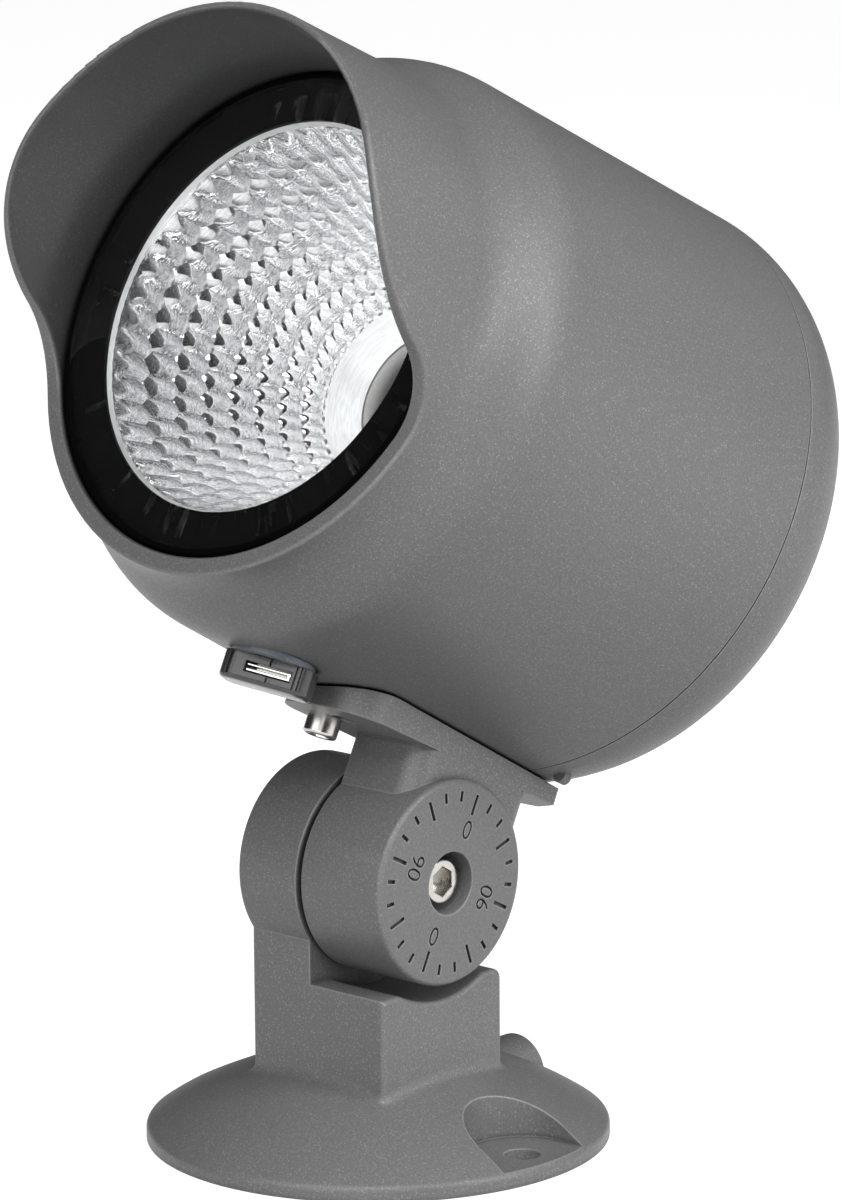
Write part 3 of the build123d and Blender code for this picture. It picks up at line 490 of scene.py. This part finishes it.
def makeGlass():
    finish, tree, shader = newFinish("clearGlass")
    shader.inputs["Base Color"].default_value = pane["tone"]
    shader.inputs["Transmission Weight"].default_value = 1.0
    shader.inputs["Specular IOR Level"].default_value = pane["shine"]
    shader.inputs["IOR"].default_value = pane["ior"]
    film = addNode(tree, "TexNoise", Scale=pane["filmScale"], Detail=2.0)
    place = addNode(tree, "TexCoord")
    join(tree, place.outputs["Object"], film.inputs["Vector"])
    rough = ranged(tree, film.outputs["Fac"], *noiseSpan, 0.0, pane["filmRough"])
    join(tree, rough, shader.inputs["Roughness"])
    clear = addNode(tree, "BsdfTransparent")
    clear.inputs[0].default_value = pane["shadowTone"]
    path = addNode(tree, "LightPath")
    both = addNode(tree, "MixShader")
    join(tree, path.outputs["Is Shadow Ray"], both.inputs[0])
    join(tree, shader.outputs[0], both.inputs[1])
    join(tree, clear.outputs[0], both.inputs[2])
    join(tree, both.outputs[0], tree.nodes["Material Output"].inputs["Surface"])
    return finish


finishes["clearGlass"] = makeGlass()

nodeFinish = {
    "coat": ["base_casting", "head_bracket", "rear_cover"],
    "hoodCoat": ["housing"],
    "blackRubber": ["cable_grommet", "bracket_gasket", "wire_bush", "rear_seal", "glass_seal"],
    "blueSilicone": ["breather_seal"],
    "frictionDisc": ["friction_washer"],
    "stainless": ["pivot_screw", "pivot_washer", "bracket_screws", "rear_screws", "spreader_screws",
                  "holder_screws", "driver_screws", "breather_clip"],
    "clearGlass": ["front_glass"],
    "blackBorder": ["reflector_bezel"],
    "brightBowl": ["reflector"],
    "lampBoard": ["led_board"],
    "lampPhosphor": ["led_emitter"],
    "holderPlastic": ["led_holder", "terminal_block"],
    "bareAluminium": ["heat_spreader"],
    "driverCase": ["led_driver"],
    "glossBlack": ["breather_plug"],
}
for finishName, nodes in nodeFinish.items():
    for node in nodes:
        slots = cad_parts[node].data.materials
        slots.clear()
        slots.append(finishes[finishName])
print("finishes on", sum(len(nodes) for nodes in nodeFinish.values()), "nodes")


def finishPiece(obj, name, place, node, finish, body="head", angle=30):
    # a piece that stands for a CAD node; with no angle it is smooth but for its marked edges
    setDown(obj, name, place)
    if angle is None:
        bpy.ops.object.shade_smooth()
    else:
        bpy.ops.object.shade_smooth_by_angle(angle=math.radians(angle))
    obj.data.materials.clear()
    obj.data.materials.append(finishes[finish])
    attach(obj, body)
    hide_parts(node)
    print(name + ":", len(obj.data.polygons), "faces")


# reflector: staggered hexagonal pillows on a parabolic bowl with a plain neck, lip, flange and outside
bowl = {"aperture": 37.9, "lip": 0.5, "exit": 14.0, "back": 26.0, "depth": 45.8, "around": 48, "rings": 10,
        "pillow": 0.15, "zigzag": 0.127, "cuts": 2, "plain": 2, "flange": 43.4, "flangeThick": 1.5,
        "wall": 1.2, "sharpFrom": 45}
bowlCount = 2 * bowl["around"]
sameTurn = 0.01  # edges that turn less than this run straight up the bowl


def bowlPoint(ring):
    # radius and station of a ring line, in metres
    radius = bowl["exit"] + (bowl["aperture"] - bowl["lip"] - bowl["exit"]) * ring / bowl["rings"]
    share = (radius ** 2 - bowl["exit"] ** 2) / (bowl["aperture"] ** 2 - bowl["exit"] ** 2)
    return radius * mm, (bowl["back"] + bowl["depth"] * share) * mm


def bowlRing(radius):
    # the ring line's number at a radius
    span = (bowl["aperture"] - bowl["lip"] - bowl["exit"]) * mm
    return (radius - bowl["exit"] * mm) / span * bowl["rings"]


def bowlTurn(point):
    # the place round the bowl, counted in its points
    return math.atan2(point.y, point.x) / math.tau * bowlCount


def pillowRise(ring, turn):
    # 1 at the middle of the nearest pillow, 0 at its points
    squash = 2 * bowl["zigzag"]
    nearest = math.inf
    for row in (math.floor(ring) - 1, math.floor(ring), math.floor(ring) + 1):
        offset = (turn - row) % 2
        across = min(offset, 2 - offset)
        nearest = min(nearest, (ring - row - 0.5) ** 2 + squash * across ** 2)
    return 1 - nearest / (0.5 + bowl["zigzag"]) ** 2


def extrudeRing(obj, radius, station):
    bpy.ops.mesh.extrude_edges_move()
    mesh = bmesh.from_edit_mesh(obj.data)
    for vert in mesh.verts:
        if vert.select:
            vert.co.xy = vert.co.xy.normalized() * radius
            vert.co.z = station
    bmesh.update_edit_mesh(obj.data)


def selectEdges(obj, test):
    # picks edges of the mesh in edit mode by their place
    bpy.ops.mesh.select_mode(type="EDGE")
    bpy.ops.mesh.select_all(action="DESELECT")
    mesh = bmesh.from_edit_mesh(obj.data)
    for edge in mesh.edges:
        if test(edge):
            edge.select_set(True)
    bmesh.update_edit_mesh(obj.data)


def makeHexNet():
    # rings of a bowl whose lines zigzag, so that each pair of faces is a hexagon
    radius, station = bowlPoint(0)
    deselectAll()
    bpy.ops.mesh.primitive_circle_add(vertices=bowlCount, radius=radius, location=(0, 0, 0))
    obj = bpy.context.object
    bpy.ops.object.mode_set(mode="EDIT")
    bpy.ops.mesh.select_all(action="SELECT")
    bpy.ops.transform.rotate(value=math.pi / 2, orient_axis="Z", center_override=(0, 0, 0))
    bpy.ops.transform.translate(value=(0, 0, station))
    for ring in range(1, bowl["rings"] + 1):
        extrudeRing(obj, *bowlPoint(ring))
    mesh = bmesh.from_edit_mesh(obj.data)
    for vert in mesh.verts:
        ring = round(bowlRing(vert.co.xy.length))
        vert.tag = (round(bowlTurn(vert.co)) + ring) % 2 == 1
        if 0 < ring < bowl["rings"]:
            newRadius, newStation = bowlPoint(ring + (bowl["zigzag"] if vert.tag else -bowl["zigzag"]))
            vert.co.xy = vert.co.xy.normalized() * newRadius
            vert.co.z = newStation

    def insidePair(edge):
        low, high = sorted(edge.verts, key=lambda vert: vert.co.z)
        return low.co.xy.angle(high.co.xy) < sameTurn and high.tag

    selectEdges(obj, insidePair)
    bpy.ops.mesh.dissolve_edges(use_verts=False)
    return obj


def makePillows():
    obj = makeHexNet()
    bpy.ops.mesh.select_all(action="SELECT")
    bpy.ops.mesh.mark_sharp()
    bpy.ops.mesh.poke(offset=0)
    bpy.ops.mesh.select_all(action="SELECT")
    bpy.ops.mesh.subdivide(number_cuts=bowl["cuts"], smoothness=0)
    mesh = bmesh.from_edit_mesh(obj.data)
    for vert in mesh.verts:
        ring = bowlRing(vert.co.xy.length)
        radius, station = bowlPoint(ring)
        ahead, behind = bowlPoint(ring + 0.5), bowlPoint(ring - 0.5)
        slope = Vector((ahead[0] - behind[0], ahead[1] - behind[1]))  # one ring along the wall
        height = bowl["pillow"] if ring > bowl["plain"] - bowl["zigzag"] else 0.0
        rise = height * slope.length * pillowRise(ring, bowlTurn(vert.co))
        inward = Vector((-slope.y, slope.x)).normalized() * rise
        vert.co.xy = vert.co.xy.normalized() * (radius + inward.x)
        vert.co.z = station + inward.y
    bmesh.update_edit_mesh(obj.data)
    return obj


def makeBowl():
    obj = makePillows()
    middle = (bowl["back"] + bowl["depth"] / 2) * mm
    front = (bowl["back"] + bowl["depth"]) * mm
    behind = front - bowl["flangeThick"] * mm
    selectEdges(obj, lambda edge: edge.is_boundary and edge.verts[0].co.z > middle)
    extrudeRing(obj, bowl["aperture"] * mm, front)
    extrudeRing(obj, bowl["flange"] * mm, front)
    extrudeRing(obj, bowl["flange"] * mm, behind)
    for ring in range(bowl["rings"], -1, -1):
        radius, station = bowlPoint(ring)
        extrudeRing(obj, radius + bowl["wall"] * mm, min(station, behind))
    selectEdges(obj, lambda edge: edge.is_boundary)
    bpy.ops.mesh.bridge_edge_loops()
    bpy.ops.mesh.select_all(action="SELECT")
    bpy.ops.mesh.normals_make_consistent(inside=False)
    selectEdges(obj, lambda edge: edge.calc_face_angle(0) > math.radians(bowl["sharpFrom"]))
    bpy.ops.mesh.mark_sharp()
    bpy.ops.object.mode_set(mode="OBJECT")
    finishPiece(obj, "reflectorBowl", headFrame, "reflector", "brightBowl", angle=None)


makeBowl()


def cutAway(obj, cutters):
    for cutter in cutters:
        cut = obj.modifiers.new("cut", "BOOLEAN")
        cut.operation = "DIFFERENCE"
        cut.solver = "EXACT"
        cut.object = cutter
    applyModifiers(obj)
    for cutter in cutters:
        bpy.data.objects.remove(cutter)


# tilt dial: numbers cut into a merged copy of the head bracket
dialNumbers = {"labels": ["0", "90", "0", "90"], "size": 5.2, "radius": 10.7, "deep": 0.5, "dialX": 19.2,
               "thin": 0.04}
mergeGap = 0.000002


def makeNumber(label, angle):
    deselectAll()
    bpy.ops.object.text_add()
    number = bpy.context.object
    number.data.body = label
    number.data.align_x = "CENTER"
    number.data.align_y = "CENTER"
    number.data.size = dialNumbers["size"] * mm
    number.data.extrude = dialNumbers["deep"] * mm
    number.data.offset = -dialNumbers["thin"] * mm
    bpy.ops.object.convert(target="MESH")
    number = bpy.context.object
    outward = headUp * math.cos(angle) - forward * math.sin(angle)
    normal = Vector((1, 0, 0))
    up = -outward
    place = pivot + outward * dialNumbers["radius"] * mm + normal * dialNumbers["dialX"] * mm
    turn = Matrix((up.cross(normal), up, normal)).transposed().to_4x4()
    setDown(number, "number", Matrix.Translation(place) @ turn)
    return number


def mergedCopy(node, name):
    # a CAD node's mesh is loose triangles with their own normals, so its copy is merged without them
    obj = bpy.data.objects.new(name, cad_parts[node].data.copy())
    bpy.context.scene.collection.objects.link(obj)
    pickOnly(obj)
    bpy.ops.mesh.customdata_custom_splitnormals_clear()
    bpy.ops.object.mode_set(mode="EDIT")
    bpy.ops.mesh.select_all(action="SELECT")
    bpy.ops.mesh.remove_doubles(threshold=mergeGap)
    bpy.ops.object.mode_set(mode="OBJECT")
    return obj


def makeDial():
    bracket = mergedCopy("head_bracket", "headBracket")
    quarter = math.pi / 2
    labels = dialNumbers["labels"]
    cutAway(bracket, [makeNumber(label, index * quarter) for index, label in enumerate(labels)])
    finishPiece(bracket, "headBracket", None, "head_bracket", "coat")


makeDial()

# front pane and its black border: merged copies with true flat faces
frontPieces = {"frontGlass": ("front_glass", "clearGlass", "glass"),
               "blackBorder": ("reflector_bezel", "blackBorder", "black_border")}
frontAngles = {"smooth": 10, "flat": 1, "facing": 8}  # in degrees


def blackenRim(piece):
    # the pane's chamfers and a narrow band inside them are black
    piece.data.materials.append(finishes["paneRim"])
    pickOnly(piece)
    bpy.ops.object.mode_set(mode="EDIT")
    bpy.ops.mesh.select_all(action="SELECT")
    bpy.ops.mesh.dissolve_limited(angle_limit=math.radians(frontAngles["flat"]))
    bpy.ops.mesh.select_mode(type="FACE")
    bpy.ops.mesh.select_all(action="DESELECT")
    mesh = bmesh.from_edit_mesh(piece.data)
    facing = math.cos(math.radians(frontAngles["facing"]))
    for face in mesh.faces:
        face.select_set(abs(face.normal.dot(forward)) > facing)
    bmesh.update_edit_mesh(piece.data)
    bpy.ops.mesh.inset(thickness=pane["rimBand"] * mm)
    bpy.ops.mesh.select_all(action="INVERT")
    piece.active_material_index = 1
    bpy.ops.object.material_slot_assign()
    bpy.ops.object.mode_set(mode="OBJECT")
    bpy.ops.object.shade_smooth_by_angle(angle=math.radians(frontAngles["smooth"]))


def makeFrontPieces():
    for name, (node, finish, slot) in frontPieces.items():
        piece = mergedCopy(node, name)
        finishPiece(piece, name, None, node, finish, angle=frontAngles["smooth"])
        if name == "frontGlass":
            blackenRim(piece)


makeFrontPieces()

# breather fitting under the body: a cap with a panel, grooves and a slot, and a spring clip in the slot
breather = {"length": 17.2, "width": 8.0, "height": 5.3, "round": 2.4, "roundCuts": 6, "foot": 0.8,
            "footCuts": 4, "turn": 27.0, "sealThick": 1.2}
# each cut: from and to along the cap, from and to up, depth into each face (None goes through)
breatherCuts = {
    "panel": (-7.0, 7.4, -1.9, 2.6, 0.3),
    "leftGroove": (-7.0, -6.0, -1.9, 2.6, 1.2),
    "middleGroove": (0.7, 1.7, -1.9, 2.6, 0.9),
    "firstRib": (5.9, 6.3, -1.9, 2.6, 0.8),
    "secondRib": (6.8, 7.1, -1.9, 2.6, 0.8),
    "slot": (-3.8, 5.3, -0.75, 1.3, None),
}
breatherClip = {"outer": (-3.6, 5.1, -0.5, 1.0), "inner": (-3.9, 4.4, 0.08, 0.56), "deep": 6.4,
                "edge": 0.16, "edgeCuts": 3}
overCut = 1.0  # how far a cutting block reaches past the piece
faceGap = 0.01  # a point this close to a face is on it


def breatherFrame():
    turn = math.radians(breather["turn"])
    along = Vector((math.cos(turn), 0, 0)) - forward * math.sin(turn)
    across = Vector((-math.sin(turn), 0, 0)) - forward * math.cos(turn)
    low, high = (Vector(corner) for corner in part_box("breather_seal"))
    middle = (low + high) / 2 - headUp * (breather["sealThick"] + breather["height"]) / 2 * mm
    return Matrix.Translation(middle) @ Matrix((along, across, headUp)).transposed().to_4x4()


def addBlock(fromX, toX, fromY, toY, fromZ, toZ):
    deselectAll()
    size = Vector((toX - fromX, toY - fromY, toZ - fromZ)) * mm
    middle = Vector((toX + fromX, toY + fromY, toZ + fromZ)) / 2 * mm
    bpy.ops.mesh.primitive_cube_add(size=1, location=middle, scale=size)
    bpy.ops.object.transform_apply(location=True, rotation=True, scale=True)
    return bpy.context.object


def lowest(edge):
    return min(vert.co.z for vert in edge.verts)


def highest(edge):
    return max(vert.co.z for vert in edge.verts)


def bevelEdges(obj, test, width, segments):
    pickOnly(obj)
    bpy.ops.object.mode_set(mode="EDIT")
    selectEdges(obj, test)
    bpy.ops.mesh.bevel(offset=width * mm, segments=segments, affect="EDGES")
    bpy.ops.object.mode_set(mode="OBJECT")


def makeBreather():
    place = breatherFrame()
    halfX, halfY, halfZ = breather["length"] / 2, breather["width"] / 2, breather["height"] / 2
    cap = addBlock(-halfX, halfX, -halfY, halfY, -halfZ, halfZ)
    foot = (faceGap - halfZ) * mm
    bevelEdges(cap, lambda edge: lowest(edge) < 0 < highest(edge), breather["round"], breather["roundCuts"])
    bevelEdges(cap, lambda edge: highest(edge) < foot, breather["foot"], breather["footCuts"])
    blocks = []
    for fromX, toX, fromZ, toZ, deep in breatherCuts.values():
        if deep is None:
            blocks.append(addBlock(fromX, toX, -halfY - overCut, halfY + overCut, fromZ, toZ))
        else:
            blocks.append(addBlock(fromX, toX, -halfY - overCut, deep - halfY, fromZ, toZ))
            blocks.append(addBlock(fromX, toX, halfY - deep, halfY + overCut, fromZ, toZ))
    cutAway(cap, blocks)
    finishPiece(cap, "breatherCap", place, "breather_plug", "glossBlack")
    fromX, toX, fromZ, toZ = breatherClip["outer"]
    deep = breatherClip["deep"] / 2
    clip = addBlock(fromX, toX, -deep, deep, fromZ, toZ)
    fromX, toX, fromZ, toZ = breatherClip["inner"]
    cutAway(clip, [addBlock(fromX, toX, -deep - overCut, deep + overCut, fromZ, toZ)])
    bevelEdges(clip, lambda edge: True, breatherClip["edge"], breatherClip["edgeCuts"])
    finishPiece(clip, "breatherClip", place, "breather_clip", "stainless")


makeBreather()

# screws that show: socket cap screws with a rounded head
screws = {
    "pivotScrew": {"node": "pivot_screw", "head": 4.25, "high": 5.0, "shank": 2.5, "round": 0.4,
                   "socket": 5.0, "deep": 3.4, "ease": 0.2},
    "bracketScrews": {"node": "bracket_screws", "head": 3.3, "high": 4.0, "shank": 2.0, "round": 0.6,
                      "socket": 3.4, "deep": 2.2, "ease": 0.2},
}
screwCuts = {"sides": 64, "round": 5, "ease": 2}


def makeScrew(values, length):
    # head's face at the local origin, shank down local Z
    deselectAll()
    high = values["high"]
    bpy.ops.mesh.primitive_cylinder_add(vertices=screwCuts["sides"], radius=values["head"] * mm,
                                        depth=high * mm, location=(0, 0, -high * mm / 2))
    screw = bpy.context.object
    bpy.ops.object.transform_apply(location=True, rotation=True, scale=True)
    bevelEdges(screw, lambda edge: lowest(edge) > -faceGap * mm, values["round"], screwCuts["round"])
    pickOnly(screw)
    bpy.ops.object.mode_set(mode="EDIT")
    selectEdges(screw, lambda edge: highest(edge) < (faceGap - high) * mm)
    bpy.ops.mesh.select_mode(type="FACE")
    bpy.ops.mesh.inset(thickness=(values["head"] - values["shank"]) * mm)
    bpy.ops.mesh.extrude_region_move(TRANSFORM_OT_translate={"value": (0, 0, (high - length) * mm)})
    bpy.ops.object.mode_set(mode="OBJECT")
    deselectAll()
    corner = values["socket"] / 2 / math.cos(math.pi / 6)
    bpy.ops.mesh.primitive_cylinder_add(vertices=6, radius=corner * mm, depth=values["deep"] * 2 * mm)
    cutAway(screw, [bpy.context.object])

    def onSocket(edge):
        inside = all(vert.co.to_2d().length < (corner + faceGap) * mm for vert in edge.verts)
        return inside and lowest(edge) > -faceGap * mm

    bevelEdges(screw, onSocket, values["ease"], screwCuts["ease"])
    return screw


def makePivotScrew():
    values = screws["pivotScrew"]
    low, high = (Vector(corner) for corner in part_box(values["node"]))
    screw = makeScrew(values, (high.x - low.x) / mm)
    turn = Matrix(((0, 1, 0), (0, 0, 1), (1, 0, 0))).transposed().to_4x4()
    place = Matrix.Translation((high.x, pivot.y, pivot.z)) @ turn
    finishPiece(screw, "pivotScrew", place, values["node"], "polishedSteel", body="base")


def makeBracketScrews():
    values = screws["bracketScrews"]
    points = [point.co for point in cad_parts[values["node"]].data.vertices]
    stations = [point.dot(forward) for point in points]
    heights = [point.dot(headUp) for point in points]
    middle = (min(stations) + max(stations)) / 2
    turn = Matrix((Vector((-1, 0, 0)), forward, -headUp)).transposed().to_4x4()
    first = makeScrew(values, (max(heights) - min(heights)) / mm)
    second = bpy.data.objects.new("bracketScrew", first.data.copy())
    bpy.context.scene.collection.objects.link(second)
    for screw, side in ((first, 1), (second, -1)):
        own = [station for station in stations if (station - middle) * side > 0]
        place = forward * (min(own) + max(own)) / 2 + headUp * min(heights)
        setDown(screw, "bracketScrew", Matrix.Translation(place) @ turn)
    pickOnly(first)
    second.select_set(True)
    bpy.ops.object.join()
    finishPiece(first, "bracketScrews", Matrix(), values["node"], "polishedSteel")


makePivotScrew()
makeBracketScrews()

# camera: fitted to the photograph
camera = {"azimuth": 43.558, "distance": 0.850, "height": 0.263789, "yaw": -0.592, "pitch": 10.682,
          "roll": -0.395, "focalPixels": 4608.73, "framePixels": 1200, "sensor": 36.0, "clip": 0.01}


def addCamera():
    data = bpy.data.cameras.new("photoCamera")
    obj = bpy.data.objects.new("photoCamera", data)
    bpy.context.scene.collection.objects.link(obj)
    data.sensor_fit = "VERTICAL"
    data.sensor_height = camera["sensor"]
    data.lens = camera["focalPixels"] * camera["sensor"] / camera["framePixels"]
    data.clip_start = camera["clip"]
    around = math.radians(camera["azimuth"])
    turn = around + math.radians(camera["yaw"])
    dip = math.radians(camera["pitch"])
    back = Vector((math.sin(turn) * math.cos(dip), -math.cos(turn) * math.cos(dip), math.sin(dip)))
    right = Vector((math.cos(turn), math.sin(turn), 0))
    up = back.cross(right)
    roll = math.radians(camera["roll"])
    right, up = right * math.cos(roll) + up * math.sin(roll), up * math.cos(roll) - right * math.sin(roll)
    distance = camera["distance"]
    place = Vector((math.sin(around) * distance, -math.cos(around) * distance, camera["height"]))
    obj.matrix_world = Matrix.Translation(place) @ Matrix((right, up, back)).transposed().to_4x4()
    bpy.context.scene.camera = obj


addCamera()

# floor, sky and lamps
stage = {"floorSize": 8.0, "floorSides": 96, "floorUp": -0.0002, "floorTone": 168, "floorRough": 0.9,
         "floorShine": 0.1, "glow": 0.95, "shade": (0.2, 0.3), "sky": 0.03, "studio": 0.03, "card": 1.0,
         "cardSpan": (0.62, 0.72), "flagAt": (-0.67, -0.58, 0.46), "flagSpan": (0.90, 0.96)}
lampAim = (0, 0, 0.12)
lamps = {
    "keyLamp": {"at": (1.3, 0.3, 0.9), "size": (0.5, 1.5), "power": 16.5},
    "cameraLamp": {"at": (0.8, -0.9, 1.5), "size": (0.9, 0.9), "power": 14.3},
    "backLamp": {"at": (0.8, 1.2, 1.1), "size": (0.9, 0.9), "power": 3.0},
    "sideLamp": {"at": (1.3, 1.0, 0.4), "size": (0.8, 0.8), "power": 1.2},
    "lowLamp": {"at": (0.75, -1.3, 0.25), "size": (0.9, 0.5), "power": 2.6},
    "frontLamp": {"at": (0.05, -1.35, 0.75), "size": (0.95, 0.95), "power": 5.0},
}


def addFloor():
    deselectAll()
    bpy.ops.mesh.primitive_circle_add(vertices=stage["floorSides"], radius=stage["floorSize"],
                                      fill_type="NGON", location=(0, 0, stage["floorUp"]))
    floor = bpy.context.object
    setDown(floor, "floor")
    finish, tree, shader = newFinish("paleFloor")
    shader.inputs["Base Color"].default_value = grey(stage["floorTone"])
    shader.inputs["Roughness"].default_value = stage["floorRough"]
    shader.inputs["Specular IOR Level"].default_value = stage["floorShine"]
    path = addNode(tree, "LightPath")
    place = addNode(tree, "TexCoord")
    away = addNode(tree, "VectorMath", operation="LENGTH")
    join(tree, place.outputs["Object"], away.inputs[0])
    # painted shade: near the object the floor glows less to rays that come through the glass
    shaded = ranged(tree, away.outputs["Value"], *stage["shade"], 0.0, stage["glow"])
    glow = mixedValue(tree, path.outputs["Is Glossy Ray"], 0.0, stage["glow"])
    glow = mixedValue(tree, path.outputs["Is Transmission Ray"], glow, shaded)
    glow = mixedValue(tree, path.outputs["Is Camera Ray"], glow, stage["glow"])
    shader.inputs["Emission Color"].default_value = (1, 1, 1, 1)
    join(tree, glow, shader.inputs["Emission Strength"])
    floor.data.materials.append(finish)


def addSky():
    # white to the eye; shiny surfaces see a dark studio with a white card in front of the bowl,
    # and a dark flag where the front pane mirrors
    world = bpy.data.worlds.new("studioSky")
    bpy.context.scene.world = world
    world.use_nodes = True
    tree = world.node_tree
    sky = tree.nodes["Background"]
    sky.inputs["Color"].default_value = (1, 1, 1, 1)
    place = addNode(tree, "TexCoord")
    facing = {}
    for name, direction in (("card", forward), ("flag", Vector(stage["flagAt"]).normalized())):
        facing[name] = addNode(tree, "VectorMath", operation="DOT_PRODUCT")
        join(tree, place.outputs["Generated"], facing[name].inputs[0])
        facing[name].inputs[1].default_value = direction
    flag = ranged(tree, facing["flag"].outputs["Value"], *stage["flagSpan"])
    card = ranged(tree, facing["card"].outputs["Value"], *stage["cardSpan"], stage["studio"], stage["card"])
    card = mixedValue(tree, flag, card, stage["studio"])
    path = addNode(tree, "LightPath")
    strength = stage["sky"]
    for ray in ("Is Glossy Ray", "Is Transmission Ray"):
        strength = mixedValue(tree, path.outputs[ray], strength, card)
    strength = mixedValue(tree, path.outputs["Is Camera Ray"], strength, 1.0)
    join(tree, strength, sky.inputs["Strength"])


def addLamp(name, values):
    data = bpy.data.lights.new(name, "AREA")
    data.shape = "RECTANGLE"
    data.size, data.size_y = values["size"]
    data.energy = values["power"]
    obj = bpy.data.objects.new(name, data)
    bpy.context.scene.collection.objects.link(obj)
    place = Vector(values["at"])
    aim = Vector(lampAim) - place
    obj.matrix_world = Matrix.Translation(place) @ aim.to_track_quat("-Z", "Y").to_matrix().to_4x4()


addFloor()
addSky()
for lampName, lampValues in lamps.items():
    addLamp(lampName, lampValues)
bpy.context.scene.view_settings.view_transform = "Standard"
print("camera, floor and lamps set")
